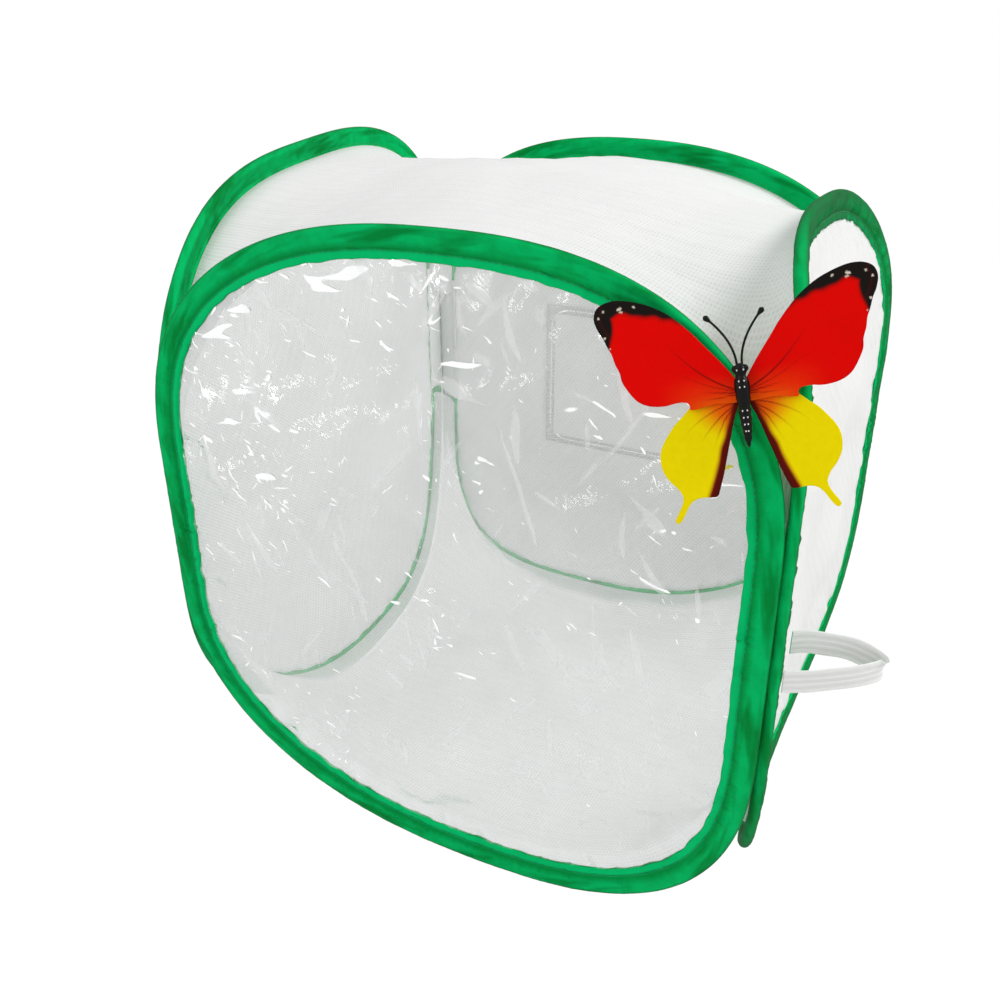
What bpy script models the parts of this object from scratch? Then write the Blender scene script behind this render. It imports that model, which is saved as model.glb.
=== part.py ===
"""A pop-up insect cage: four sprung wire hoops in folded green tape, sewn together at the corners.

Metres, +Z up. The origin is on the ground, in the middle of the four corner seams.
The front window faces -Y.
"""

import math

import bmesh
import bpy
import numpy as np
from mathutils import Matrix, Vector

# driving sizes of the cage
front_width = 0.306
side_depth = 0.2914
rear_shift = 0.0112
hoop_height = 0.3158
band_width = 0.0139
fold_angle = math.radians(44)

# walls and the gap between neighbouring pieces
running_gap = 0.0003
tape_wall = 0.00045
mesh_wall = 0.0005
film_wall = 0.0005

# the sprung wire and the sleeve that joins its ends
wire_radius = 0.0009
wire_end_gap = 0.0006
ferrule_wall = 0.0003
ferrule_length = 0.012
ferrule_sides = 8

# how the cage is sewn
seam_allowance = 0.002
slot_overrun = 0.0012
slot_gap = 0.0004
sewn_gap = 0.0012
sewn_share = 0.25
cut_overrun = 0.004

# the floor cloth's lie on the ground, and how far the top cloth domes
slack_share = 0.0032
dome_share = 0.0012

# the outline of each hoop: roundness is an exponent, the others are shares of half the hoop's height
hoop_shares = {
    "front": dict(top_round=2.44, bottom_round=2.40, top_sway=0.031, bottom_sway=0.127,
                  top_bow=-0.036, bottom_bow=0.008, rise=0.008, flat=0.0),
    "right": dict(top_round=2.82, bottom_round=2.47, top_sway=-0.101, bottom_sway=-0.112,
                  top_bow=-0.142, bottom_bow=-0.098, rise=-0.072, flat=0.0),
    "back": dict(top_round=2.34, bottom_round=2.80, top_sway=0.004, bottom_sway=0.137,
                 top_bow=-0.120, bottom_bow=-0.242, rise=0.0105, flat=0.62),
    "left": dict(top_round=2.99, bottom_round=2.47, top_sway=-0.260, bottom_sway=0.035,
                 top_bow=0.185, bottom_bow=-0.184, rise=-0.062, flat=0.0),
}
bow_power = 3
belly_power = 1.6
lean_limit = math.tan(math.radians(10))
panel_ring_shares = (0.80, 0.55)

# the zipped door in the back panel
door_width = 0.106
door_height = 0.094
door_corner = 0.012
corner_steps = 4
zip_tape_width = 0.008
zip_tape_wall = 0.0006
coil_width = 0.0020
coil_height = 0.0017
coil_spacing = 0.0012
zip_park = 0.016
door_tape_setback = 0.0015
slider_length = 0.009
slider_overlap = 0.0009
slider_plate = 0.0008
slider_post = 0.0006
bail_bar = 0.0008
bail_width = 0.0016
bail_room = 0.0024
pull_length = 0.024
pull_width = 0.0056
pull_wall = 0.0008
pull_neck = 0.0008

# the elastic loop in the front right seam
elastic_width = 0.0100
elastic_wall = 0.0010
elastic_reach = 0.048
elastic_spacing = 0.0095
elastic_bulge = 0.003
elastic_fullness = 1.3
elastic_climb = 0.011
elastic_height = 0.150
elastic_heading = math.radians(33)
elastic_steps = 16

# the butterfly on the front hoop
butterfly_span = 0.096
wing_wall = 0.0005
butterfly_length = 0.0295
butterfly_girth = 0.0056
body_sides = 10
antenna_radius = 0.00035
antenna_knob_share = 2.4
antenna_reach = 0.017
antenna_spread = 0.0092
antenna_sweep = 1.8
antenna_rise = 0.85
antenna_steps = 9
magnet_radius = 0.0032
magnet_height = 0.003
magnet_sides = 16
magnet_gap = 0.0008
perch_drop = 0.0475
perch_turn = math.radians(13.3)
perch_lean = math.radians(20.4)
perch_tilt = math.radians(7.5)

# facets
hoop_steps = 44
sheet_steps = 16
relax_rounds = 400
dense_steps = 240

# sizes that follow
ferrule_bore = (wire_radius + running_gap) / math.cos(math.pi / ferrule_sides)
ferrule_radius = ferrule_bore + ferrule_wall
bore_sides = 6
tube_bore = (ferrule_radius + running_gap) / math.cos(math.pi / bore_sides)
tube_radius = tube_bore + tape_wall
flange_inside = mesh_wall / 2 + slot_gap
flange_outside = flange_inside + tape_wall
flange_tip = band_width - tube_radius
pin_reach = tube_radius / math.cos(fold_angle / 2) + running_gap / 2
pin_offset = pin_reach * math.sqrt(0.5)
up = Vector((0, 0, 1))

cage = bpy.data.collections.new("insect_cage")
cutters = bpy.data.collections.new("insect_cage_cutters")


def clear_scene():
    for thing in list(bpy.data.objects):
        bpy.data.objects.remove(thing, do_unlink=True)
    bpy.context.scene.collection.children.link(cage)
    bpy.context.scene.collection.children.link(cutters)


def material(name, colour, roughness, metallic=0.0, alpha=1.0):
    made = bpy.data.materials.new(name)
    made.use_nodes = True
    shader = made.node_tree.nodes["Principled BSDF"]
    shader.inputs["Base Color"].default_value = (*colour, 1.0)
    shader.inputs["Roughness"].default_value = roughness
    shader.inputs["Metallic"].default_value = metallic
    shader.inputs["Alpha"].default_value = alpha
    return made


def add_mesh(name, mesh, finish, collection=cage):
    thing = bpy.data.objects.new(name, mesh)
    collection.objects.link(thing)
    if finish is not None:
        mesh.materials.append(finish)
    return thing


def mesh_from(name, points, faces):
    mesh = bpy.data.meshes.new(name)
    mesh.from_pydata([tuple(point) for point in points], [], faces)
    mesh.update()
    return mesh


def smooth(thing):
    thing.data.shade_smooth()
    thing.data.set_sharp_from_angle(angle=math.radians(40))


def frame_matrix(origin, first, second, third):
    matrix = Matrix.Identity(4)
    for column, axis in enumerate((first, second, third, origin)):
        matrix[0][column] = axis[0]
        matrix[1][column] = axis[1]
        matrix[2][column] = axis[2]
    return matrix


# the plan: a parallelogram of four upright seam lines
seam_run = math.sqrt(side_depth ** 2 - rear_shift ** 2)
pins = {
    "front_left": Vector((-front_width / 2 + rear_shift / 2, -seam_run / 2, 0)),
    "front_right": Vector((front_width / 2 + rear_shift / 2, -seam_run / 2, 0)),
    "back_right": Vector((front_width / 2 - rear_shift / 2, seam_run / 2, 0)),
    "back_left": Vector((-front_width / 2 - rear_shift / 2, seam_run / 2, 0)),
}
side_ends = {
    "front": ("front_left", "front_right"),
    "right": ("front_right", "back_right"),
    "back": ("back_right", "back_left"),
    "left": ("back_left", "front_left"),
}


class Hoop:
    """The wire's centre line round one side, anticlockwise from outside, from the middle of the bottom."""

    def __init__(self, side):
        self.side = side
        self.shares = hoop_shares[side]
        start, end = (pins[name] for name in side_ends[side])
        self.along = (end - start).normalized()
        self.out = self.along.cross(up)
        self.middle = (start + end) / 2
        self.half_width = (end - start).length / 2 - pin_offset
        self.half_height = hoop_height / 2 - tube_radius
        self.sewn = self.half_height * sewn_share
        self.flat = self.outline()
        self.points = self.place(self.flat)
        self.tangents = self.directions()
        self.inward, self.normal = self.section_axes()

    def corner(self, roundness):
        turn = np.linspace(0, math.pi / 2, dense_steps)
        across = self.half_width * np.cos(turn) ** (2 / roundness)
        rise = self.sewn + (self.half_height - self.sewn) * np.sin(turn) ** (2 / roundness)
        return np.stack([across, rise], 1)

    def outline(self):
        top = self.corner(self.shares["top_round"])
        bottom = self.corner(self.shares["bottom_round"])
        loop = np.concatenate([
            bottom[::-1] * (1, -1),
            top,
            top[::-1] * (-1, 1),
            bottom * (-1, -1),
        ])
        lengths = np.concatenate([[0], np.cumsum(np.linalg.norm(np.diff(loop, axis=0), axis=1))])
        stops = (np.arange(hoop_steps) + 0.5) / hoop_steps * lengths[-1]
        return np.stack([np.interp(stops, lengths, loop[:, 0]), np.interp(stops, lengths, loop[:, 1])], 1)

    def place(self, flat):
        high = np.maximum((flat[:, 1] - self.sewn) / (self.half_height - self.sewn), 0)
        low = np.maximum((-flat[:, 1] - self.sewn) / (self.half_height - self.sewn), 0)
        sway = self.shares["top_sway"] * high ** 2 + self.shares["bottom_sway"] * low ** 2
        bow = self.shares["top_bow"] * high ** bow_power + self.shares["bottom_bow"] * low ** bow_power
        across = flat[:, 0] + sway * self.half_height
        off = pin_offset + bow * self.half_height
        rise = flat[:, 1] + self.shares["rise"] * flat[:, 0]
        rise = rise - rise.min() + tube_radius
        axes = np.array([self.along, self.out, up])
        return np.array(self.middle) + np.stack([across, off, rise], 1) @ axes

    def directions(self):
        steps = np.roll(self.points, -1, 0) - self.points
        steps /= np.linalg.norm(steps, axis=1)[:, None]
        both = steps + np.roll(steps, 1, 0)
        return both / np.linalg.norm(both, axis=1)[:, None]

    def section_axes(self):
        """Inward points along the panel's cloth and normal points out of the cage."""
        out = np.array(self.out)
        off = (self.points - np.array(self.middle)) @ out
        centre = self.points.mean(0)
        spread = self.points - centre
        spread -= (spread @ out)[:, None] * out
        reach = np.linalg.norm(spread, axis=1)
        slope = (off.mean() - off) * belly_power / (1 - self.shares["flat"]) / reach
        slope = lean_limit * np.tanh(slope / lean_limit)
        inward = np.cross(out, self.tangents) + out * slope[:, None]
        inward -= self.tangents * (inward * self.tangents).sum(1)[:, None]
        inward /= np.linalg.norm(inward, axis=1)[:, None]
        return inward, np.cross(self.tangents, inward)

    def ring(self, depth, height=0.0):
        return self.points + self.inward * depth + self.normal * height

    def stop_at(self, height, right_side):
        """The stop nearest to a height, on the right or the left of the hoop as seen from outside."""
        far = np.abs(self.points[:, 2] - height) + hoop_height * ((self.flat[:, 0] > 0) != right_side)
        return int(far.argmin())

    def point_at(self, height, right_side):
        """Where the wire crosses a height, on the right or the left of the hoop as seen from outside."""
        stop = self.stop_at(height, right_side)
        here = self.points[stop]
        for beside in (self.points[stop - 1], self.points[(stop + 1) % hoop_steps]):
            share = (height - here[2]) / (beside[2] - here[2])
            if 0 <= share <= 1:
                return here + (beside - here) * share
        return here

    def arc(self, top):
        """The stops above or below the sewn length, in order from one seam to the next."""
        stops = np.arange(hoop_steps)
        if top:
            return stops[self.flat[:, 1] >= self.sewn]
        shifted = np.roll(stops, hoop_steps // 2)
        return shifted[self.flat[shifted, 1] <= -self.sewn]


def loft(name, rings, finish, closed_section, centre=None):
    """Joins rings of equal count; a closed section also joins the last ring to the first."""
    count = len(rings[0])
    points = np.concatenate(rings)
    faces = []
    pairs = len(rings) if closed_section else len(rings) - 1
    for band in range(pairs):
        first = band * count
        second = (band + 1) % len(rings) * count
        for step in range(count):
            after = (step + 1) % count
            faces.append((first + step, second + step, second + after, first + after))
    if centre is not None:
        points = np.concatenate([points, [centre]])
        last = (len(rings) - 1) * count
        for step in range(count):
            faces.append((last + step, len(points) - 1, last + (step + 1) % count))
    return add_mesh(name, mesh_from(name, points, faces), finish)


def solidify(thing, wall):
    skin = thing.modifiers.new("wall", "SOLIDIFY")
    skin.thickness = wall
    skin.offset = 0


def triangulate(thing):
    """Settles the diagonals of twisted faces the same way in the tape and in the cloth inside it."""
    split = thing.modifiers.new("diagonals", "TRIANGULATE")
    split.quad_method = "BEAUTY"


def binding_section():
    """Tape folded round the wire, with a slot between its two flanges for the panel's edge."""
    outer_start = math.asin(flange_outside / tube_radius)
    inner_start = math.asin(flange_inside / tube_bore)
    outer_count = 7
    points = [(flange_tip, flange_inside), (flange_tip, flange_outside)]
    for step in range(outer_count):
        turn = outer_start + (2 * math.pi - 2 * outer_start) * step / (outer_count - 1)
        points.append((tube_radius * math.cos(turn), tube_radius * math.sin(turn)))
    points += [(flange_tip, -flange_outside), (flange_tip, -flange_inside)]
    turns = [2 * math.pi - inner_start]
    turns += [2 * math.pi * step / bore_sides for step in range(bore_sides - 1, 0, -1)]
    turns.append(inner_start)
    for turn in turns:
        points.append((tube_bore * math.cos(turn), tube_bore * math.sin(turn)))
    return points


def make_binding(hoop, finish):
    rings = [hoop.ring(depth, height) for depth, height in binding_section()]
    binding = loft(hoop.side + "_binding", rings, finish, closed_section=True)
    triangulate(binding)
    smooth(binding)
    return binding


def make_wire(hoop, finish):
    """An open hoop of round wire whose two ends meet at the middle of the bottom."""
    first, last = hoop.points[0], hoop.points[-1]
    joint = (first + last) / 2
    reach = (first - last) / np.linalg.norm(first - last) * wire_end_gap / 2
    route = [joint + reach, *hoop.points, joint - reach]
    return tube(hoop.side + "_wire_hoop", route, wire_radius, finish, fineness=1)


def tube(name, route, radius, finish, fineness=2, girth_shares=None):
    curve = bpy.data.curves.new(name, "CURVE")
    curve.dimensions = "3D"
    curve.bevel_depth = radius
    curve.bevel_resolution = fineness
    curve.use_fill_caps = True
    spline = curve.splines.new("POLY")
    spline.points.add(len(route) - 1)
    for index, point in enumerate(route):
        spline.points[index].co = (*point, 1.0)
        if girth_shares:
            spline.points[index].radius = girth_shares[index]
    curve.materials.append(finish)
    thing = bpy.data.objects.new(name, curve)
    cage.objects.link(thing)
    return thing


def hinge_point(name, place):
    """An empty on a joint's axis, which carries what turns there."""
    empty = bpy.data.objects.new(name, None)
    cage.objects.link(empty)
    empty.location = place
    return empty


def carry(parent, children):
    """Parents the children where they stand."""
    bpy.context.view_layer.update()
    inverse = parent.matrix_world.inverted()
    for child in children:
        child.parent = parent
        child.matrix_parent_inverse = inverse


def make_ferrule(hoop, finish):
    """A sleeve round the wire's two ends, inside the tape."""
    joint = Vector((hoop.points[0] + hoop.points[-1]) / 2)
    axis = Vector(hoop.points[0] - hoop.points[-1]).normalized()
    name = hoop.side + "_ferrule"
    turns = [2 * math.pi * step / ferrule_sides for step in range(ferrule_sides)]
    half = ferrule_length / 2
    rings = []
    for radius, end in ((ferrule_bore, -half), (ferrule_bore, half), (ferrule_radius, half), (ferrule_radius, -half)):
        rings.append(np.array([(radius * math.cos(turn), radius * math.sin(turn), end) for turn in turns]))
    sleeve = loft(name, rings, finish, closed_section=True)
    first = Vector(hoop.normal[0])
    first = (first - axis * first.dot(axis)).normalized()
    sleeve.matrix_world = frame_matrix(joint, first, axis.cross(first), axis)
    smooth(sleeve)
    return sleeve


def belly(share, flat_share):
    return max((share - flat_share) / (1 - flat_share), 0) ** belly_power


def make_panel(hoop, name, wall, finish):
    """A cloth or film panel whose edge lies in the slot of the tape."""
    edge = hoop.ring(tube_radius + running_gap)
    lip = hoop.ring(flange_tip + slot_overrun)
    out = np.array(hoop.out)
    lip_off = (lip - np.array(hoop.middle)) @ out
    centre_off = lip_off.mean()
    centre = lip.mean(0)
    centre = centre + out * (centre_off - (centre - np.array(hoop.middle)) @ out)
    flat = hoop.shares["flat"]
    shares = [share for share in panel_ring_shares if share > flat] + ([flat] if flat else [])
    rings = [edge, lip]
    for share in shares:
        spread = (lip - centre) - ((lip - centre) @ out)[:, None] * out
        rings.append(centre + spread * share + ((lip_off - centre_off) * belly(share, flat))[:, None] * out)
    panel = loft(name, rings, finish, closed_section=False, centre=centre)
    solidify(panel, wall)
    triangulate(panel)
    smooth(panel)
    return panel, Vector(centre)


def resample(points, count):
    lengths = np.concatenate([[0], np.cumsum(np.linalg.norm(np.diff(points, axis=0), axis=1))])
    stops = np.linspace(0, lengths[-1], count)
    return np.stack([np.interp(stops, lengths, points[:, axis]) for axis in range(3)], 1)


def make_sheet(hoops, name, top, finish):
    """The top or the floor: one cloth sewn to the inner flanges of all four tapes."""
    depth = flange_tip - seam_allowance
    height = -(flange_outside + sewn_gap + mesh_wall / 2)
    edges = {}
    for side, hoop in hoops.items():
        points = hoop.ring(depth, height)[hoop.arc(top)]
        edges[side] = points[::-1] if top else points
    corners = {}
    order = ("front", "right", "back", "left")
    for index, side in enumerate(order):
        other = order[(index + 1) % len(order)]
        corners[side] = (edges[side][-1] + edges[other][0]) / 2
    for index, side in enumerate(order):
        before = corners[order[index - 1]]
        edges[side] = resample(np.concatenate([[before], edges[side], [corners[side]]]), sheet_steps + 1)
    grid = np.zeros((sheet_steps + 1, sheet_steps + 1, 3))
    grid[:, 0] = edges["front"]
    grid[-1, :] = edges["right"]
    grid[:, -1] = edges["back"][::-1]
    grid[0, :] = edges["left"][::-1]
    share = np.linspace(0, 1, sheet_steps + 1)
    for index in range(1, sheet_steps):
        across = grid[0, index] * (1 - share)[1:-1, None] + grid[-1, index] * share[1:-1, None]
        grid[1:-1, index] = across
    sag = (-dome_share if top else slack_share) * hoop_height
    ground = mesh_wall / 2
    for _ in range(relax_rounds):
        mean = (grid[:-2, 1:-1] + grid[2:, 1:-1] + grid[1:-1, :-2] + grid[1:-1, 2:]) / 4
        mean[:, :, 2] = np.maximum(mean[:, :, 2] - sag, ground)
        grid[1:-1, 1:-1] = mean
    mesh = bpy.data.meshes.new(name)
    work = bmesh.new()
    bmesh.ops.create_grid(work, x_segments=sheet_steps, y_segments=sheet_steps, size=sheet_steps / 2)
    for vert in work.verts:
        column = round(vert.co.x + sheet_steps / 2)
        row = round(vert.co.y + sheet_steps / 2)
        vert.co = grid[column, row]
    work.to_mesh(mesh)
    work.free()
    sheet = add_mesh(name, mesh, finish)
    solidify(sheet, mesh_wall)
    triangulate(sheet)
    smooth(sheet)
    return sheet


def flat_solid(name, outlines, depth, matrix, finish, collection=cage):
    """A flat outline, with any holes after it, given a depth either side of its plane."""
    curve = bpy.data.curves.new(name + "_outline", "CURVE")
    curve.dimensions = "2D"
    curve.fill_mode = "BOTH"
    curve.extrude = depth / 2
    for outline in outlines:
        spline = curve.splines.new("POLY")
        spline.points.add(len(outline) - 1)
        spline.use_cyclic_u = True
        for index, point in enumerate(outline):
            spline.points[index].co = (point[0], point[1], 0.0, 1.0)
    guide = bpy.data.objects.new(name + "_outline", curve)
    bpy.context.scene.collection.objects.link(guide)
    graph = bpy.context.evaluated_depsgraph_get()
    mesh = bpy.data.meshes.new_from_object(guide.evaluated_get(graph))
    mesh.name = name
    bpy.data.objects.remove(guide)
    work = bmesh.new()
    work.from_mesh(mesh)
    bmesh.ops.remove_doubles(work, verts=work.verts, dist=running_gap / 100)
    bmesh.ops.recalc_face_normals(work, faces=work.faces)
    work.to_mesh(mesh)
    work.free()
    mesh.materials.clear()
    thing = add_mesh(name, mesh, finish, collection)
    thing.matrix_world = matrix
    return thing


def cut(thing, cutter, operation="DIFFERENCE"):
    cutter.hide_render = True
    cutter.display_type = "WIRE"
    change = thing.modifiers.new("cut", "BOOLEAN")
    change.operation = operation
    change.solver = "EXACT"
    change.object = cutter


def rectangle(left, right, low, high):
    return [(left, low), (right, low), (right, high), (left, high)]


def door_path(offset, start):
    """Along the top, down the free side and back along the bottom, offset outwards from the zip's line."""
    right = door_width / 2 + offset
    high = door_height / 2 + offset
    corner_radius = door_corner + offset
    path = [(start, high)]
    for step in range(corner_steps + 1):
        turn = math.pi / 2 * (1 - step / corner_steps)
        path.append((right - corner_radius + corner_radius * math.cos(turn),
                     high - corner_radius + corner_radius * math.sin(turn)))
    path += [(x, -y) for x, y in reversed(path)]
    return path


def strip(inner, outer, start):
    return door_path(outer, start) + door_path(inner, start)[::-1]


def make_door(hoop, panel, centre, cloth, tape, coil, metal):
    """A flap in the back panel, hinged on one upright edge and zipped along the other three."""
    hinge_x = -door_width / 2
    rows_inside = coil_spacing / 2
    rows_outside = rows_inside + coil_width
    edge = rows_outside + running_gap
    park_end = hinge_x - zip_park
    hinge_side = hinge_x - running_gap / 2
    layer = frame_matrix(centre, hoop.along, up, hoop.out)
    opening = door_path(edge, park_end)
    opening += [(park_end, -door_height / 2 + edge), (hinge_side, -door_height / 2 + edge),
                (hinge_side, door_height / 2 - edge), (park_end, door_height / 2 - edge)]
    cutter = flat_solid("door_opening_cutter", [opening], cut_overrun, layer, None, cutters)
    cut(panel, cutter)
    flap_start = hinge_x + running_gap / 2
    flap = flat_solid("door_mesh_flap", [door_path(-edge, flap_start)], mesh_wall, layer, cloth)

    tape_middle = mesh_wall / 2 + running_gap + zip_tape_wall / 2
    tape_layer = layer @ Matrix.Translation((0, 0, tape_middle))
    door_start = hinge_x + door_tape_setback
    frame_tape = strip(edge, edge + zip_tape_width, park_end)
    door_tape = strip(-edge - zip_tape_width, -edge, door_start)
    fixed_tape = flat_solid("zip_frame_tape", [frame_tape], zip_tape_wall, tape_layer, tape)
    moving_tape = flat_solid("zip_door_tape", [door_tape], zip_tape_wall, tape_layer, tape)
    frame_coil = strip(rows_inside, rows_outside, park_end + running_gap)
    door_coil = strip(-rows_outside, -rows_inside, door_start)
    fixed_coil = flat_solid("zip_frame_coil", [frame_coil], coil_height, tape_layer, coil)
    moving_coil = flat_solid("zip_door_coil", [door_coil], coil_height, tape_layer, coil)
    slider = make_slider(hoop, centre, tape_middle, edge, park_end, metal)
    hinge_line = centre + hoop.along * hinge_x + hoop.out * mesh_wall / 2
    hinge = hinge_point("door_hinge_point", hinge_line)
    carry(hinge, [flap, moving_tape, moving_coil])
    return [cutter, fixed_tape, fixed_coil, slider, hinge]


def make_slider(hoop, centre, tape_middle, edge, park_end, metal):
    """Two plates joined by a post that runs between the two rows, with a bail and a pull tab."""
    slider_x = park_end + zip_park / 2
    place = centre + hoop.along * slider_x + up * (door_height / 2)
    top_face = tape_middle + coil_height / 2 + running_gap
    low_face = -(mesh_wall / 2 + running_gap)
    half = edge + slider_overlap
    web = slider_post / 2
    block = rectangle(-half, half, low_face - slider_plate, top_face + slider_plate)
    profile_frame = frame_matrix(place, up, hoop.out, hoop.along)
    slider = flat_solid("zip_slider", [block], slider_length, profile_frame, metal)
    for name, near, far in (("upper", web, half + cut_overrun), ("lower", -half - cut_overrun, -web)):
        channel = rectangle(near, far, low_face, top_face)
        channel_name = "zip_" + name + "_channel_cutter"
        cut(slider, flat_solid(channel_name, [channel], slider_length + cut_overrun, profile_frame, None, cutters))

    plate_top = top_face + slider_plate
    room = bail_room / 2
    sunk = slider_plate / 2
    arch = [(-room - bail_bar, plate_top - sunk), (-room, plate_top - sunk), (-room, plate_top + bail_room),
            (room, plate_top + bail_room), (room, plate_top - sunk), (room + bail_bar, plate_top - sunk),
            (room + bail_bar, plate_top + bail_room + bail_bar),
            (-room - bail_bar, plate_top + bail_room + bail_bar)]
    arch_frame = frame_matrix(place, hoop.along, hoop.out, -up)
    bail = flat_solid("zip_bail_joiner", [arch], bail_width, arch_frame, None, cutters)
    cut(slider, bail, "UNION")

    pull_height = plate_top + running_gap + pull_wall / 2
    pull_frame = frame_matrix(place + hoop.out * pull_height, hoop.along, up, hoop.out)
    eye_half = bail_width / 2 + running_gap
    neck = pull_neck / 2
    eye_length = bail_room + bail_bar + running_gap
    outer = rectangle(-pull_length, neck, -pull_width / 2, pull_width / 2)
    eye = rectangle(-neck - eye_length, -neck, -eye_half, eye_half)
    carry(slider, [flat_solid("zip_pull", [outer, eye], pull_wall, pull_frame, metal)])
    return slider


def smooth_step(share):
    return share * share * (3 - 2 * share)


def make_elastic_loop(hoop, finish):
    """A flat strap whose two ends are sewn to the tape at the front right corner."""
    root = Vector(hoop.points[hoop.stop_at(elastic_height, False)])
    root += hoop.out * (tube_radius + running_gap + elastic_wall / 2)
    root.z = elastic_height
    shift = hoop.along * elastic_spacing + up * elastic_climb
    heading = Vector((math.cos(elastic_heading), math.sin(elastic_heading), 0))
    path = []
    for step in range(elastic_steps + 1):
        share = step / elastic_steps
        reach = elastic_reach * math.sin(math.pi * share) ** elastic_fullness
        bulge = -elastic_bulge * math.sin(2 * math.pi * share)
        path.append(root + shift * smooth_step(share) + heading * reach + up.cross(heading) * bulge)
    path = np.array(path)
    steps = np.gradient(path, axis=0)
    steps /= np.linalg.norm(steps, axis=1)[:, None]
    side = np.cross(steps, np.array(up))
    side /= np.linalg.norm(side, axis=1)[:, None]
    rise = np.cross(side, steps)
    half_wall, half_width = elastic_wall / 2, elastic_width / 2
    section = ((-half_wall, -half_width), (half_wall, -half_width), (half_wall, half_width), (-half_wall, half_width))
    rings = [path + side * off + rise * high for off, high in section]
    points = np.stack(rings, 1).reshape(-1, 3)
    corners = len(section)
    faces = [tuple(range(corners))]
    for step in range(elastic_steps):
        for corner in range(corners):
            after = (corner + 1) % corners
            first, second = step * corners, (step + 1) * corners
            faces.append((first + after, first + corner, second + corner, second + after))
    faces.append(tuple(elastic_steps * corners + corner for corner in reversed(range(corners))))
    return add_mesh("elastic_loop", mesh_from("elastic_loop", points, faces), finish)


# each pair of wings: half of its outline, as shares of half the span, from the top of the waist to its bottom
forewing_shares = (
    (0.05, 0.17), (0.23, 0.41), (0.40, 0.62), (0.54, 0.73), (0.70, 0.80), (0.87, 0.83),
    (0.97, 0.79), (0.99, 0.68), (0.93, 0.56), (0.87, 0.44), (0.85, 0.32), (0.80, 0.21),
    (0.77, 0.13), (0.69, 0.06), (0.56, 0.03), (0.41, 0.04), (0.07, -0.03),
)
hindwing_shares = (
    (0.07, 0.02), (0.39, -0.02), (0.53, -0.15), (0.62, -0.29), (0.63, -0.43), (0.57, -0.54),
    (0.50, -0.63), (0.58, -0.81), (0.55, -0.83), (0.45, -0.68), (0.32, -0.67), (0.26, -0.65),
    (0.07, -0.12),
)
# the body's outline along its length, as shares of the length and of half the girth
body_shares = ((0.00, 0.0), (0.02, 0.62), (0.07, 0.90), (0.12, 0.84), (0.15, 0.66), (0.20, 0.94), (0.32, 1.0),
               (0.46, 0.92), (0.54, 0.80), (0.66, 0.84), (0.80, 0.62), (0.93, 0.26), (1.0, 0.0))
waist_share = 0.36


def turned(name, profile, steps, matrix, finish):
    mesh = bpy.data.meshes.new(name)
    points = [(radius, 0, height) for radius, height in profile]
    mesh.from_pydata(points, [(index, index + 1) for index in range(len(points) - 1)], [])
    thing = add_mesh(name, mesh, finish)
    thing.matrix_world = matrix
    screw = thing.modifiers.new("turn", "SCREW")
    screw.steps = steps
    screw.render_steps = steps
    screw.use_merge_vertices = True
    screw.merge_threshold = running_gap / 100
    return thing


def make_butterfly(hoop, forewing_sheet, hindwing_sheet, shell, metal):
    """A printed sheet with a moulded body, held to the front hoop's wire by a magnet."""
    perch = Vector(hoop.point_at(hoop_height - perch_drop, True))
    across = Vector((math.cos(perch_turn), math.sin(perch_turn), 0))
    facing = Vector((math.sin(perch_turn) * math.cos(perch_lean), -math.cos(perch_turn) * math.cos(perch_lean),
                     math.sin(perch_lean)))
    level = frame_matrix(perch, across, facing.cross(across), facing)
    place = level @ Matrix.Rotation(perch_tilt, 4, "Z")
    half_span = butterfly_span / 2

    magnet_middle = tube_radius + magnet_gap + magnet_height / 2
    work = bmesh.new()
    bmesh.ops.create_cone(work, cap_ends=True, segments=magnet_sides, radius1=magnet_radius, radius2=magnet_radius,
                          depth=magnet_height, matrix=Matrix.Translation((0, 0, magnet_middle)))
    mesh = bpy.data.meshes.new("butterfly_magnet")
    work.to_mesh(mesh)
    work.free()
    magnet = add_mesh("butterfly_magnet", mesh, metal)
    magnet.matrix_world = place

    sheet_middle = magnet_middle + magnet_height / 2 - wing_wall / 2
    for name, shares, finish in (("butterfly_hindwings", hindwing_shares, hindwing_sheet),
                                 ("butterfly_forewings", forewing_shares, forewing_sheet)):
        right_half = [(x * half_span, y * half_span) for x, y in shares]
        left_half = [(-x, y) for x, y in reversed(right_half)]
        sheet_middle += running_gap + wing_wall
        wing_frame = place @ Matrix.Translation((0, 0, sheet_middle))
        carry(magnet, [flat_solid(name, [right_half + left_half], wing_wall, wing_frame, finish)])

    girth = butterfly_girth / 2
    body_middle = sheet_middle + wing_wall / 2 + running_gap + girth
    profile = [(share * girth, (waist_share - along) * butterfly_length) for along, share in body_shares]
    body_frame = place @ Matrix.Translation((0, 0, body_middle)) @ Matrix.Rotation(-math.pi / 2, 4, "X")
    body = turned("butterfly_body", profile, body_sides, body_frame, shell)
    smooth(body)
    carry(magnet, [body])

    head = waist_share * butterfly_length + antenna_radius + running_gap
    for name, direction in (("butterfly_left_antenna", -1), ("butterfly_right_antenna", 1)):
        route, girths = [], []
        for step in range(antenna_steps):
            share = step / (antenna_steps - 1)
            sideways = direction * (girth / 3 + antenna_spread * share ** antenna_sweep)
            route.append(place @ Vector((sideways, head + antenna_reach * share ** antenna_rise, body_middle)))
            girths.append(antenna_knob_share if step == antenna_steps - 1 else 1.0)
        tip = route[-1] + (route[-1] - route[-2]).normalized() * antenna_radius * antenna_knob_share
        girths.append(antenna_knob_share)
        carry(magnet, [tube(name, route + [tip], antenna_radius, shell, fineness=1, girth_shares=girths)])


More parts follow.
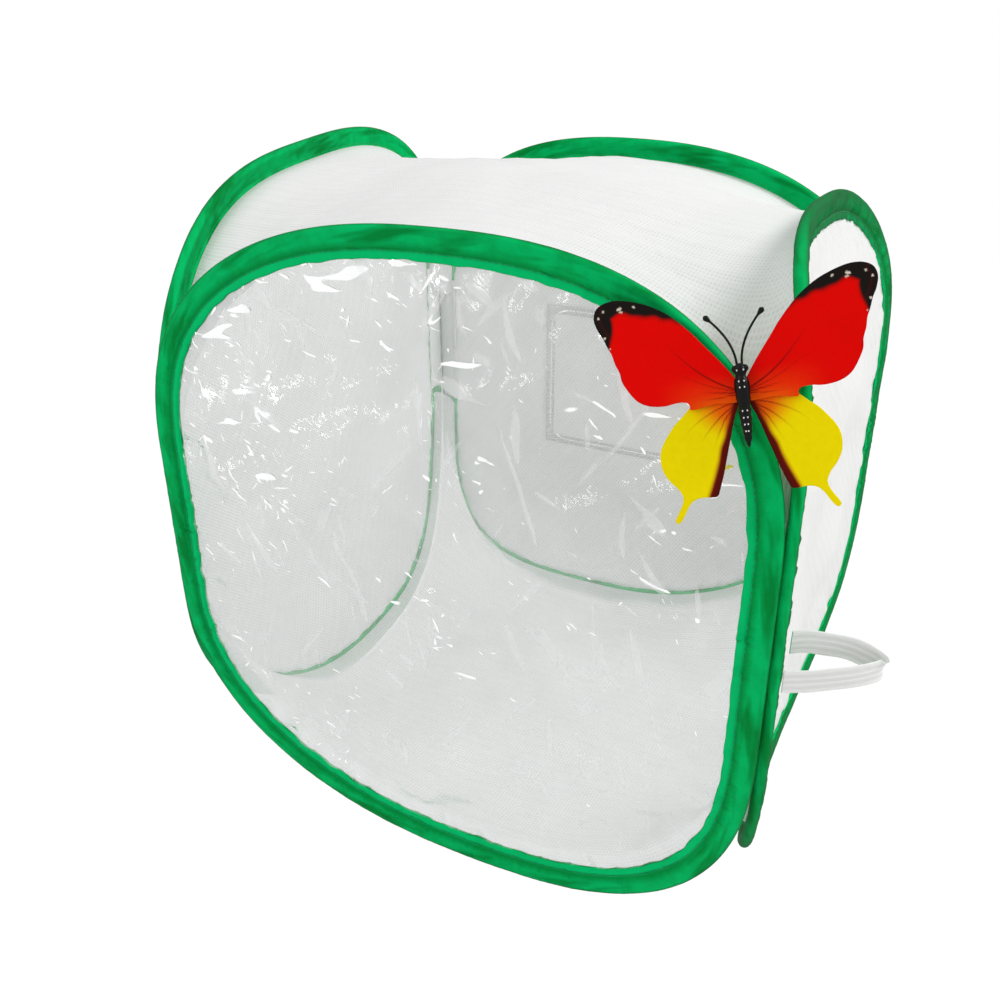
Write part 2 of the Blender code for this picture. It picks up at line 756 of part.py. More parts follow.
def main():
    clear_scene()
    satin = material("green_satin_tape", (0.0, 0.36, 0.12), 0.45)
    steel = material("sprung_steel_wire", (0.35, 0.35, 0.36), 0.35, 1.0)
    sleeve = material("ferrule_steel", (0.5, 0.5, 0.5), 0.3, 1.0)
    film = material("clear_film", (0.9, 0.92, 0.92), 0.08, 0.0, 0.3)
    cloth = material("white_mesh", (0.85, 0.85, 0.85), 0.8)
    floor_cloth = material("white_floor_cloth", (0.84, 0.84, 0.84), 0.8)
    elastic = material("white_elastic", (0.86, 0.86, 0.84), 0.75)
    zip_tape = material("white_zip_tape", (0.82, 0.82, 0.82), 0.8)
    zip_coil = material("white_zip_coil", (0.8, 0.8, 0.8), 0.4)
    zip_metal = material("zip_metal", (0.6, 0.6, 0.6), 0.3, 1.0)
    red_sheet = material("printed_forewings", (0.8, 0.08, 0.02), 0.4)
    yellow_sheet = material("printed_hindwings", (0.85, 0.7, 0.03), 0.4)
    black_shell = material("black_body", (0.01, 0.01, 0.01), 0.3)
    magnet_metal = material("magnet_metal", (0.55, 0.55, 0.56), 0.3, 1.0)

    hoops = {side: Hoop(side) for side in side_ends}
    pieces = {}
    for side, hoop in hoops.items():
        if side == "front":
            panel, centre = make_panel(hoop, "front_window", film_wall, film)
        else:
            panel, centre = make_panel(hoop, side + "_mesh_panel", mesh_wall, cloth)
        pieces[side] = [make_wire(hoop, steel), make_ferrule(hoop, sleeve), make_binding(hoop, satin), panel]
        if side == "back":
            pieces[side] += make_door(hoop, panel, centre, cloth, zip_tape, zip_coil, zip_metal)
    make_sheet(hoops, "top_mesh_panel", True, cloth)
    make_sheet(hoops, "floor_panel", False, floor_cloth)
    fold_points = {
        "right": hinge_point("right_fold_point", pins["front_right"]),
        "left": hinge_point("left_fold_point", pins["front_left"]),
        "back": hinge_point("back_fold_point", pins["back_right"]),
    }
    for side, point in fold_points.items():
        carry(point, pieces[side])
    carry(fold_points["right"], [fold_points["back"]])
    make_elastic_loop(hoops["right"], elastic)
    make_butterfly(hoops["front"], red_sheet, yellow_sheet, black_shell, magnet_metal)


main()
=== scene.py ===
# A pop-up insect cage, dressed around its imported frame.
# Metres, +Z up. The front window faces -Y, and the ground is z = 0.

import math

import bmesh
import bpy
import numpy as np
from mathutils import Matrix, Vector
from mathutils.geometry import delaunay_2d_cdt


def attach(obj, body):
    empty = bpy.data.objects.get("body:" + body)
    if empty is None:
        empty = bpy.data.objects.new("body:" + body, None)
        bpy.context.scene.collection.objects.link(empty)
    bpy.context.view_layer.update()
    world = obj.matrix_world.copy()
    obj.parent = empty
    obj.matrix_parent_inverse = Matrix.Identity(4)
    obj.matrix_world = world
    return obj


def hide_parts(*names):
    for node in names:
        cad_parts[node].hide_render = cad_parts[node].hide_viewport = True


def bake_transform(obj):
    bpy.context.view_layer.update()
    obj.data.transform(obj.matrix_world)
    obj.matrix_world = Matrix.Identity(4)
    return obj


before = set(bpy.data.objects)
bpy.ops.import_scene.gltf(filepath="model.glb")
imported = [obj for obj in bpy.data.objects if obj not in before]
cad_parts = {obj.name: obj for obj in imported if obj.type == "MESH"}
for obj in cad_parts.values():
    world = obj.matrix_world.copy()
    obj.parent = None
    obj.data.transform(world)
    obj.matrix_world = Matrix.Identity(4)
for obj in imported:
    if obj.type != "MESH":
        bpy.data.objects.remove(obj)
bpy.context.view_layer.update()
print("frame loaded")

cage = dict(
    frontWidth=0.306,
    sideDepth=0.2914,
    rearShift=0.0112,
    height=0.3158,
    bandWidth=0.0139,
    tubeRadius=0.00264,
    pinOffset=0.00212,
    sewnShare=0.25,
    bowPower=3,
    bellyPower=1.6,
    leanLimit=math.tan(math.radians(10)),
)
cage["bandReach"] = cage["bandWidth"] - cage["tubeRadius"]

# each hoop's outline: roundness is an exponent, the rest are shares of half the hoop's height
hoopShapes = {
    "front": dict(topRound=2.44, bottomRound=2.40, topSway=0.031, bottomSway=0.127,
                  topBow=-0.036, bottomBow=0.008, rise=0.008, flat=0.0),
    "right": dict(topRound=2.82, bottomRound=2.47, topSway=-0.101, bottomSway=-0.112,
                  topBow=-0.142, bottomBow=-0.098, rise=-0.072, flat=0.0),
    "back": dict(topRound=2.34, bottomRound=2.80, topSway=0.004, bottomSway=0.137,
                 topBow=-0.120, bottomBow=-0.242, rise=0.0105, flat=0.62),
    "left": dict(topRound=2.99, bottomRound=2.47, topSway=-0.260, bottomSway=0.035,
                 topBow=0.185, bottomBow=-0.184, rise=-0.062, flat=0.0),
}

seamRun = math.sqrt(cage["sideDepth"] ** 2 - cage["rearShift"] ** 2)
halfFront = cage["frontWidth"] / 2
halfShift = cage["rearShift"] / 2
pins = {
    "frontLeft": np.array([-halfFront + halfShift, -seamRun / 2, 0]),
    "frontRight": np.array([halfFront + halfShift, -seamRun / 2, 0]),
    "backRight": np.array([halfFront - halfShift, seamRun / 2, 0]),
    "backLeft": np.array([-halfFront - halfShift, seamRun / 2, 0]),
}
sideEnds = {
    "front": ("frontLeft", "frontRight"),
    "right": ("frontRight", "backRight"),
    "back": ("backRight", "backLeft"),
    "left": ("backLeft", "frontLeft"),
}
upward = np.array([0.0, 0.0, 1.0])


# helpers for shapes

def waves(points, size, seed, count=10):
    # a smooth random relief, about 1 high, with features of roughly this size
    rng = np.random.default_rng(seed)
    points = np.atleast_2d(points)
    total = np.zeros(len(points))
    for turn in range(count):
        heading = rng.normal(size=points.shape[1])
        heading /= np.linalg.norm(heading)
        pitch = size * rng.uniform(0.6, 1.5)
        total += np.sin(points @ heading * 2 * math.pi / pitch + rng.uniform(0, 2 * math.pi))
    return total / math.sqrt(count / 2)


def foldLines(points, size, seed, count=12):
    # sharp creases along random headings, each of them in patches
    rng = np.random.default_rng(seed)
    total = np.zeros(len(points))
    for turn in range(count):
        heading = rng.normal(size=points.shape[1])
        heading /= np.linalg.norm(heading)
        pitch = size * rng.uniform(0.7, 1.8)
        bend = waves(points, size * 4, seed + 100 + turn, 4) * 0.16
        phase = points @ heading / pitch + rng.uniform(0, 1) + bend
        patch = np.clip(waves(points, size * 2.5, seed + 200 + turn, 5) - 0.2, 0, 1)
        total += np.abs(phase % 1 - 0.5) * 2 * patch
    return total - total.mean()


def ease(share):
    share = np.clip(share, 0, 1)
    return share * share * (3 - 2 * share)


def addPiece(name, mesh, look=None):
    piece = bpy.data.objects.new(name, mesh)
    bpy.context.scene.collection.objects.link(piece)
    if look is not None:
        mesh.materials.append(look)
    return piece


def meshOf(name, points, faces):
    mesh = bpy.data.meshes.new(name)
    mesh.from_pydata(np.asarray(points).tolist(), [], faces)
    mesh.update()
    return mesh


def faceOutward(mesh):
    work = bmesh.new()
    work.from_mesh(mesh)
    bmesh.ops.recalc_face_normals(work, faces=work.faces)
    work.to_mesh(mesh)
    work.free()


def roundOver(mesh, angle=50):
    mesh.shade_smooth()
    mesh.set_sharp_from_angle(angle=math.radians(angle))


def wrapRows(name, rows, layout, closeAcross=True, closeAlong=True, caps=False):
    # rows run along the piece, one for each point of its section; layout holds a width and a length per row
    across, along = rows.shape[:2]
    widths, lengths = layout
    faces, flat = [], []
    for row in range(across if closeAcross else across - 1):
        nextRow = (row + 1) % across
        for step in range(along if closeAlong else along - 1):
            nextStep = (step + 1) % along
            faces.append((row * along + step, nextRow * along + step,
                          nextRow * along + nextStep, row * along + nextStep))
            flat += [(lengths[step], widths[row]), (lengths[step], widths[row + 1]),
                     (lengths[step + 1], widths[row + 1]), (lengths[step + 1], widths[row])]
    if caps:
        faces.append(tuple(row * along for row in range(across)))
        faces.append(tuple(row * along + along - 1 for row in reversed(range(across))))
        flat += [(0, 0)] * (across * 2)
    mesh = meshOf(name, rows.reshape(-1, 3), faces)
    mesh.uv_layers.new(name="lie").data.foreach_set("uv", np.array(flat).ravel())
    faceOutward(mesh)
    return mesh


def layFlat(mesh, points):
    # a flat map in metres, one place for each vertex
    drawn = mesh.uv_layers.new(name="lie")
    order = np.zeros(len(mesh.loops), dtype=int)
    mesh.loops.foreach_get("vertex_index", order)
    drawn.data.foreach_set("uv", np.asarray(points)[order][:, :2].ravel())


def thicken(piece, wall):
    skin = piece.modifiers.new("wall", "SOLIDIFY")
    skin.thickness = wall
    skin.offset = 0
    skin.use_even_offset = False


def applyAll(piece):
    graph = bpy.context.evaluated_depsgraph_get()
    graph.update()
    mesh = bpy.data.meshes.new_from_object(piece.evaluated_get(graph))
    mesh.name = piece.name
    piece.modifiers.clear()
    piece.data = mesh


def unit(arrows):
    return arrows / np.linalg.norm(arrows, axis=1)[:, None]


def runOf(line):
    # how far along the line each of its points is
    return np.concatenate([[0], np.cumsum(np.linalg.norm(np.diff(line, axis=0), axis=1))])


def pointsAt(line, stops):
    run = runOf(line)
    return np.stack([np.interp(stops, run, line[:, axis]) for axis in range(line.shape[1])], 1)


def tubeFaces(first, rings, sides):
    # the sides of a tube whose rings of points follow one another
    faces = []
    for ring in range(rings):
        for turn in range(sides):
            after = (turn + 1) % sides
            start = first + ring * sides
            faces.append((start + turn, start + after, start + sides + after, start + sides + turn))
    return faces


def staggeredGrid(low, high, step):
    grid = np.stack(np.meshgrid(np.arange(low[0], high[0], step), np.arange(low[1], high[1], step)), -1)
    grid[1::2, :, 0] += step / 2
    return grid.reshape(-1, 2)


def joinUp(edge, grid, rim=()):
    # triangles between all the points, with the edge and the rim kept as closed lines
    places = [Vector(point) for group in (edge, grid, rim) for point in group]
    edges = []
    for first, count in ((0, len(edge)), (len(edge) + len(grid), len(rim))):
        edges += [(first + index, first + (index + 1) % count) for index in range(count)]
    found = delaunay_2d_cdt(places, edges, [], 1, 1e-7)
    return np.array([tuple(point) for point in found[0]]), [tuple(face) for face in found[2]]


def addThread(name, route, radius, look, fineness=1, caps=True, girths=None):
    curve = bpy.data.curves.new(name, "CURVE")
    curve.dimensions = "3D"
    curve.bevel_depth = radius
    curve.bevel_resolution = fineness
    curve.use_fill_caps = caps
    spline = curve.splines.new("POLY")
    spline.points.add(len(route) - 1)
    for index, place in enumerate(route):
        spline.points[index].co = (*place, 1.0)
        if girths is not None:
            spline.points[index].radius = girths[index]
    return addPiece(name, curve, look)


def matrixOf(sideways, upwards, backward, place):
    matrix = Matrix.Identity(4)
    for column, axis in enumerate((sideways, upwards, backward, place)):
        for line in range(3):
            matrix[line][column] = axis[line]
    return matrix


# helpers for finishes

def newLook(name):
    look = bpy.data.materials.new(name)
    look.use_nodes = True
    return look, look.node_tree, look.node_tree.nodes["Principled BSDF"]


def feed(tree, node, inputs):
    # gives each input, by its name or its number, a value or a link
    for key, value in inputs.items():
        socket = node.inputs[key]
        if isinstance(value, bpy.types.NodeSocket):
            tree.links.new(value, socket)
        elif isinstance(value, tuple) and socket.type == "RGBA":
            socket.default_value = (*value, 1.0)
        else:
            socket.default_value = value


def addNode(tree, kind, settings=None, **inputs):
    made = tree.nodes.new(kind)
    for key, value in (settings or {}).items():
        setattr(made, key, value)
    feed(tree, made, {key.replace("_", " "): value for key, value in inputs.items()})
    return made


def doMath(tree, operation, first, second):
    made = addNode(tree, "ShaderNodeMath", {"operation": operation})
    feed(tree, made, {0: first, 1: second})
    return made.outputs[0]


def blendColours(tree, share, first, second):
    made = addNode(tree, "ShaderNodeMix", {"data_type": "RGBA"})
    feed(tree, made, {0: share, 6: first, 7: second})
    return made.outputs[2]


def spread(tree, value, low, high, outLow=0.0, outHigh=1.0):
    made = addNode(tree, "ShaderNodeMapRange")
    feed(tree, made, {0: value, 1: low, 2: high, 3: outLow, 4: outHigh})
    return made.outputs[0]


def lieOf(tree, turn=0.0, stretch=(1, 1, 1)):
    place = addNode(tree, "ShaderNodeUVMap", {"uv_map": "lie"}).outputs[0]
    place = addNode(tree, "ShaderNodeMapping", Vector=place, Rotation=(0, 0, math.radians(turn))).outputs[0]
    if stretch == (1, 1, 1):
        return place
    return addNode(tree, "ShaderNodeMapping", Vector=place, Scale=stretch).outputs[0]


def placeOf(tree, turn=0.0, stretch=(1, 1, 1)):
    place = addNode(tree, "ShaderNodeTexCoord").outputs["Object"]
    return addNode(tree, "ShaderNodeMapping", Vector=place, Rotation=(0, 0, math.radians(turn)),
                   Scale=stretch).outputs[0]


def stripes(tree, place, pitch, direction="X", wobble=0.0, wobbleSize=60.0):
    # the wave texture has one band in a twentieth of a turn
    made = addNode(tree, "ShaderNodeTexWave", {"bands_direction": direction}, Vector=place,
                   Scale=math.pi / (pitch * 20), Distortion=wobble, Detail=1.0, Detail_Scale=wobbleSize)
    return made.outputs["Fac"]


def specks(tree, place, scale, detail=3.0, roughness=0.55, bend=0.0):
    return addNode(tree, "ShaderNodeTexNoise", Vector=place, Scale=scale, Detail=detail, Roughness=roughness,
                   Distortion=bend).outputs["Fac"]


def raiseBy(tree, shader, height, distance, strength=1.0, below=None):
    made = addNode(tree, "ShaderNodeBump", Height=height, Distance=distance, Strength=strength)
    if below is not None:
        feed(tree, made, {"Normal": below})
    if shader is not None:
        feed(tree, shader, {"Normal": made.outputs[0]})
    return made.outputs[0]


def mixShaders(tree, share, first, second):
    made = addNode(tree, "ShaderNodeMixShader")
    feed(tree, made, {0: share, 1: first.outputs[0], 2: second.outputs[0]})
    return made


def show(tree, shader):
    tree.links.new(shader.outputs[0], tree.nodes["Material Output"].inputs["Surface"])


def anyRay(tree, *kinds):
    path = addNode(tree, "ShaderNodeLightPath")
    seen = path.outputs[kinds[0]]
    for kind in kinds[1:]:
        seen = doMath(tree, "MAXIMUM", seen, path.outputs[kind])
    return seen


# finishes
# lit is the green in light and deep the same green in painted shade; the paler tone makes random patches and
# a painted highlight on the flat strip; the darkest tone is painted shade where the satin is seen edge-on
tapeFinish = dict(
    lit=(0.0006, 0.50, 0.128),
    deep=(0.0004, 0.22, 0.034),
    paleMottleAndSheen=(0.0012, 0.60, 0.185),
    edgeOnPaintedShade=(0.0004, 0.10, 0.020),
    roughness=0.62,
    twillPitch=0.00045,
)


def makeTapeLook():
    look, tree, shader = newLook("greenSatinTape")
    deep, paleMottleAndSheen, rough = tapeFinish["deep"], tapeFinish["paleMottleAndSheen"], tapeFinish["roughness"]
    lie = lieOf(tree)
    # the base varies at random between the lit and the shaded green, with paler patches
    mottle = specks(tree, lie, 90, 4)
    base = blendColours(tree, spread(tree, mottle, 0.22, 0.55, 0.45), deep, tapeFinish["lit"])
    base = blendColours(tree, spread(tree, specks(tree, lie, 22, 2), 0.50, 0.78, 0.0, 0.6), base, paleMottleAndSheen)
    # painted shade where the tape drops to its stitches and in its soft folds, and a painted highlight on the
    # flat strip beyond them
    width = addNode(tree, "ShaderNodeSeparateXYZ", Vector=lie).outputs["Y"]
    slope = doMath(tree, "MULTIPLY", spread(tree, width, 0.0043, 0.0049),
                   spread(tree, width, 0.0056, 0.0088, 1.0, 0.0))
    foldShade = spread(tree, specks(tree, lieOf(tree, 7, (0.28, 1.5, 1)), 95, 2), 0.47, 0.66, 0.0, 0.9)
    foldShade = doMath(tree, "MULTIPLY", foldShade, spread(tree, width, 0.0045, 0.0065))
    drop = doMath(tree, "MAXIMUM", doMath(tree, "MULTIPLY", slope, 0.72), foldShade)
    base = blendColours(tree, drop, base, deep)
    base = blendColours(tree, spread(tree, width, 0.0042, 0.0036, 0.0, 0.55), base, paleMottleAndSheen)
    # painted shade: the satin's colour turns dark where it is seen along its surface, standing in for its
    # sheen
    edgeOn = addNode(tree, "ShaderNodeLayerWeight", Blend=0.5).outputs["Facing"]
    base = blendColours(tree, spread(tree, edgeOn, 0.35, 0.85, 0.0, 0.9), base, tapeFinish["edgeOnPaintedShade"])
    feed(tree, shader, {"Base Color": base, "Specular IOR Level": 0.03,
                        "Roughness": spread(tree, mottle, 0.2, 0.8, rough - 0.07, rough + 0.07)})
    twill = stripes(tree, lieOf(tree, 38), tapeFinish["twillPitch"], wobble=0.6)
    raiseBy(tree, shader, mottle, 0.0006, 0.5, raiseBy(tree, None, twill, 0.00006, 0.6))
    return look


def makeThreadLook():
    look, tree, shader = newLook("greenThread")
    strand = stripes(tree, placeOf(tree, 30), 0.0003)
    base = blendColours(tree, strand, (0.002, 0.17, 0.05), (0.006, 0.36, 0.12))
    feed(tree, shader, {"Base Color": base, "Roughness": 0.6})
    raiseBy(tree, shader, strand, 0.00005)
    return look


# yarn, the back wall's tone, is set darker than the left wall's as painted shade
clothFinish = dict(
    yarn=(0.90, 0.90, 0.895),
    shade=(0.74, 0.745, 0.74),
    pitch=0.00085,
    wall=0.86,
    back=0.985,
    seam=0.93,
    hem=0.5,
    top=0.93,
    floor=0.90,
    lightThrough=0.78,
)


def makeClothLook(name, slant, yarn, openness, ridge=0.00012):
    look, tree, shader = newLook(name)
    pitch, shade = clothFinish["pitch"], clothFinish["shade"]
    lie = lieOf(tree, slant)
    lattice = doMath(tree, "MAXIMUM", stripes(tree, lie, pitch, "X", 0.5),
                     stripes(tree, lie, pitch * 1.15, "Y", 0.5))
    row = stripes(tree, lie, pitch * 4.2, "Y", 2.0, 8.0)
    cloud = specks(tree, lieOf(tree), 14, 3)
    tone = blendColours(tree, spread(tree, lattice, 0.25, 0.9), shade, yarn)
    tone = blendColours(tree, spread(tree, row, 0.0, 1.0, 0.0, 0.35), tone, yarn)
    tone = blendColours(tree, spread(tree, cloud, 0.35, 0.7, 0.0, 0.25), tone, shade)
    feed(tree, shader, {"Base Color": tone, "Roughness": 0.85, "Specular IOR Level": 0.2})
    raiseBy(tree, shader, row, ridge * 2, 0.5, raiseBy(tree, None, lattice, ridge, 0.7))
    # the open weave shows a little of what is behind it, most of all at its hem, and lets lamplight through
    soft = anyRay(tree, "Is Shadow Ray", "Is Diffuse Ray")
    hem = addNode(tree, "ShaderNodeAttribute", {"attribute_name": "hem"}).outputs["Fac"]
    seen = doMath(tree, "MULTIPLY", spread(tree, hem, 0, 1, 1 - openness, clothFinish["hem"]),
                  spread(tree, soft, 0, 1, 1, 0))
    gap = doMath(tree, "ADD", seen, doMath(tree, "MULTIPLY", soft, clothFinish["lightThrough"]))
    show(tree, mixShaders(tree, gap, shader, addNode(tree, "ShaderNodeBsdfTransparent")))
    return look


filmFinish = dict(
    tint=(0.985, 0.988, 0.988),
    gloss=0.05,
    shine=(0.03, 0.14),
    crumple=62,
    relief=0.0012,
    bloom=(0.04, 0.24),
    spread=0.016,
)
# painted glints, each row: turn in degrees, size, stretch, threshold and how strongly the upper left corner
# is favoured
paintedFilmGlints = ((-6, 30, 3.6, 0.745, 0.055), (28, 58, 3.2, 0.75, 0.05), (14, 88, 2.8, 0.745, 0.045),
              (-52, 50, 4.5, 0.765, 0.03), (58, 62, 4.0, 0.765, 0.03), (-85, 70, 4.0, 0.775, 0.02))
filmShards = ((66, 15, 6.0, 0.655, 0.30), (-58, 20, 5.0, 0.66, 0.26), (82, 19, 6.0, 0.66, 0.26),
              (24, 26, 4.0, 0.665, 0.28))


def makeFilmLook():
    look, tree, shader = newLook("clearFilm")
    feed(tree, shader, {"Base Color": (0.97, 0.975, 0.975), "Roughness": 0.35, "Specular IOR Level": 0.1})
    lie = lieOf(tree)
    crumple = addNode(tree, "ShaderNodeTexVoronoi", {"feature": "DISTANCE_TO_EDGE"}, Vector=lie,
                      Scale=filmFinish["crumple"])
    crinkle = specks(tree, lieOf(tree, 28, (1, 2.4, 1)), 34, 4, 0.6)
    height = doMath(tree, "ADD", spread(tree, crumple.outputs["Distance"], 0, 0.3, 0, 0.35), crinkle)
    clear = addNode(tree, "ShaderNodeBsdfTransparent", Color=filmFinish["tint"])
    gloss = addNode(tree, "ShaderNodeBsdfGlossy", Roughness=filmFinish["gloss"], Color=(1, 1, 1))
    raiseBy(tree, gloss, height, filmFinish["relief"])
    facing = addNode(tree, "ShaderNodeLayerWeight", Blend=0.35).outputs["Facing"]
    shine = spread(tree, facing, 0, 1, *filmFinish["shine"])
    # painted glints: fixed streaks where the film turns fully mirror-like stand in for small facets facing
    # the light, most of them near the upper left corner
    across = addNode(tree, "ShaderNodeSeparateXYZ", Vector=lie)
    corner = doMath(tree, "SUBTRACT", across.outputs["Y"], across.outputs["X"])
    corner = spread(tree, corner, 0.0, 0.36, -0.6, 1.0)
    patch = spread(tree, specks(tree, lie, 13, 2), 0.35, 0.65, -1.0, 1.0)
    for turn, size, stretch, cut, favour in paintedFilmGlints:
        peak = specks(tree, lieOf(tree, turn, (1, stretch, 1)), size, 1.2, 0.5, 0.8)
        peak = doMath(tree, "ADD", peak, doMath(tree, "MULTIPLY", corner, favour))
        peak = doMath(tree, "ADD", peak, doMath(tree, "MULTIPLY", patch, 0.06))
        shine = doMath(tree, "MAXIMUM", shine, spread(tree, peak, cut, cut + filmFinish["spread"]))
    # the film turns pale white in shards, and a faint white bloom lies between them
    haze = spread(tree, specks(tree, lie, 8, 2), 0.35, 0.72, *filmFinish["bloom"])
    for turn, size, stretch, cut, strength in filmShards:
        peak = specks(tree, lieOf(tree, turn, (1, stretch, 1)), size, 1.2, 0.5, 0.3)
        haze = doMath(tree, "MAXIMUM", haze, spread(tree, peak, cut, cut + 0.03, 0.0, strength))
    seen = spread(tree, anyRay(tree, "Is Shadow Ray", "Is Diffuse Ray"), 0, 1, 1, 0)
    bloomed = mixShaders(tree, haze, mixShaders(tree, shine, clear, gloss), shader)
    show(tree, mixShaders(tree, seen, clear, bloomed))
    return look


def makeMetalLook(name, tone, roughness):
    look, tree, shader = newLook(name)
    grain = specks(tree, placeOf(tree, 0, (1, 1, 8)), 260, 3)
    rough = spread(tree, grain, 0.2, 0.8, roughness * 0.8, roughness * 1.25)
    base = blendColours(tree, grain, tuple(part * 0.82 for part in tone), tone)
    feed(tree, shader, {"Base Color": base, "Metallic": 1.0, "Roughness": rough})
    raiseBy(tree, shader, grain, 0.00004)
    return look


def makeRibbedLook(name, tone, shade, pitch, direction):
    look, tree, shader = newLook(name)
    rib = stripes(tree, lieOf(tree), pitch, direction, 0.4)
    feed(tree, shader, {"Base Color": blendColours(tree, rib, shade, tone), "Roughness": 0.8})
    raiseBy(tree, shader, rib, 0.00025)
    return look


def makeWingLook(name):
    look, tree, shader = newLook(name)
    printed = addNode(tree, "ShaderNodeAttribute", {"attribute_name": "print"}).outputs["Color"]
    grain = specks(tree, placeOf(tree), 420, 3)
    tone = blendColours(tree, spread(tree, grain, 0.3, 0.7, 0.0, 0.05), printed, (0.02, 0.01, 0.0))
    feed(tree, shader, {"Base Color": tone, "Roughness": spread(tree, grain, 0.3, 0.7, 0.38, 0.5),
                        "Specular IOR Level": 0.04})
    raiseBy(tree, shader, grain, 0.00005)
    return look


def makeShellLook():
    look, tree, shader = newLook("blackShell")
    grain = specks(tree, placeOf(tree), 700, 4)
    tone = blendColours(tree, grain, (0.0015, 0.002, 0.0015), (0.006, 0.007, 0.006))
    feed(tree, shader, {"Base Color": tone, "Roughness": spread(tree, grain, 0.3, 0.7, 0.22, 0.42),
                        "Specular IOR Level": 0.12})
    raiseBy(tree, shader, grain, 0.0001)
    return look


def makePlainLook(name, tone, roughness):
    look, tree, shader = newLook(name)
    grain = specks(tree, placeOf(tree), 900, 3)
    base = blendColours(tree, grain, tuple(part * 0.9 for part in tone), tone)
    feed(tree, shader, {"Base Color": base, "Roughness": roughness})
    raiseBy(tree, shader, grain, 0.00003)
    return look


tapeLook = makeTapeLook()
threadLook = makeThreadLook()
# The cage's cloth is one white mesh; its tone is set wall by wall as painted light and shade, darkest on the
# seam strips and the right wall, lightest on the left wall and the floor.
wallCloth = makeClothLook("whiteMesh", 52, (0.96, 0.96, 0.955), clothFinish["wall"])
rightWallCloth = makeClothLook("rightMesh", 52, (0.87, 0.865, 0.855), clothFinish["wall"])
backWallCloth = makeClothLook("backMesh", 52, clothFinish["yarn"], clothFinish["back"])
seamCloth = makeClothLook("seamMesh", 20, (0.82, 0.84, 0.83), clothFinish["seam"])
topCloth = makeClothLook("topMesh", 8, (0.875, 0.875, 0.87), clothFinish["top"])
floorCloth = makeClothLook("floorMesh", 0, (0.95, 0.95, 0.945), clothFinish["floor"])
filmLook = makeFilmLook()
wireLook = makeMetalLook("springSteel", (0.42, 0.42, 0.43), 0.34)
ferruleLook = makeMetalLook("ferruleSteel", (0.55, 0.55, 0.55), 0.30)
zipMetal = makeMetalLook("zipMetal", (0.68, 0.68, 0.69), 0.28)
magnetLook = makeMetalLook("magnetMetal", (0.60, 0.60, 0.61), 0.25)
elasticLook = makeRibbedLook("whiteElastic", (0.98, 0.98, 0.965), (0.86, 0.86, 0.845), 0.0014, "Y")
zipTapeLook = makeRibbedLook("zipTape", (0.80, 0.80, 0.80), (0.66, 0.66, 0.66), 0.0012, "X")
coilLook = makePlainLook("zipCoil", (0.86, 0.86, 0.86), 0.35)
wingLook = makeWingLook("printedWings")
shellLook = makeShellLook()
dotLook = makePlainLook("whiteDots", (0.86, 0.86, 0.82), 0.5)
fringeLook = makePlainLook("whiteYarn", (0.88, 0.88, 0.87), 0.8)
print("finishes made")


# the hoops' centre lines

def hoopCurve(side, count):
    shape = hoopShapes[side]
    start, end = (pins[name] for name in sideEnds[side])
    along = (end - start) / np.linalg.norm(end - start)
    out = np.cross(along, upward)
    middle = (start + end) / 2
    halfWidth = np.linalg.norm(end - start) / 2 - cage["pinOffset"]
    halfHeight = cage["height"] / 2 - cage["tubeRadius"]
    sewn = halfHeight * cage["sewnShare"]

    def corner(roundness):
        turn = np.linspace(0, math.pi / 2, 400)
        across = halfWidth * np.cos(turn) ** (2 / roundness)
        rise = sewn + (halfHeight - sewn) * np.sin(turn) ** (2 / roundness)
        return np.stack([across, rise], 1)

    top, bottom = corner(shape["topRound"]), corner(shape["bottomRound"])
    loop = np.concatenate([bottom[::-1] * (1, -1), top, top[::-1] * (-1, 1), bottom * (-1, -1)])
    flat = pointsAt(loop, (np.arange(count) + 0.5) / count * runOf(loop)[-1])
    high = np.maximum((flat[:, 1] - sewn) / (halfHeight - sewn), 0)
    low = np.maximum((-flat[:, 1] - sewn) / (halfHeight - sewn), 0)
    sway = shape["topSway"] * high ** 2 + shape["bottomSway"] * low ** 2
    bow = shape["topBow"] * high ** cage["bowPower"] + shape["bottomBow"] * low ** cage["bowPower"]
    across = flat[:, 0] + sway * halfHeight
    off = cage["pinOffset"] + bow * halfHeight
    rise = flat[:, 1] + shape["rise"] * flat[:, 0]
    rise = rise - rise.min() + cage["tubeRadius"]
    points = middle + np.outer(across, along) + np.outer(off, out) + np.outer(rise, upward)

    tangents = unit(np.roll(points, -1, 0) - points)
    tangents = unit(tangents + np.roll(tangents, 1, 0))
    away = (points - middle) @ out
    reach = points - points.mean(0)
    reach -= (reach @ out)[:, None] * out
    slope = (away.mean() - away) * cage["bellyPower"] / (1 - shape["flat"]) / np.linalg.norm(reach, axis=1)
    slope = cage["leanLimit"] * np.tanh(slope / cage["leanLimit"])
    inward = np.cross(out, tangents) + out * slope[:, None]
    inward = unit(inward - tangents * (inward * tangents).sum(1)[:, None])
    normal = np.cross(tangents, inward)
    arc = runOf(points)
    around = arc[-1] + np.linalg.norm(points[0] - points[-1])
    return dict(side=side, shape=shape, points=points, inward=inward, normal=normal, along=along, out=out,
                middle=middle, arc=arc, around=around, flat=flat, sewn=sewn, tangents=tangents)


def ringOf(hoop, depth, height=0.0):
    depth = np.broadcast_to(depth, len(hoop["points"]))
    height = np.broadcast_to(height, len(hoop["points"]))
    return hoop["points"] + hoop["inward"] * depth[:, None] + hoop["normal"] * height[:, None]


hoopSteps = 520
hoops = {side: hoopCurve(side, hoopSteps) for side in sideEnds}


# the folded satin tapes

tape = dict(
    stripWidth=0.0036,
    stripHeight=0.00115,
    dip=0.00030,
    pucker=0.00055,
    puckerLength=0.0058,
    slack=0.10,
    slackLength=0.034,
    raggedEdge=0.00022,
    stitchLength=0.0021,
    stitchPitch=0.0029,
    stitchWidth=0.00034,
)
tape["seam"] = cage["bandReach"] - tape["stripWidth"]


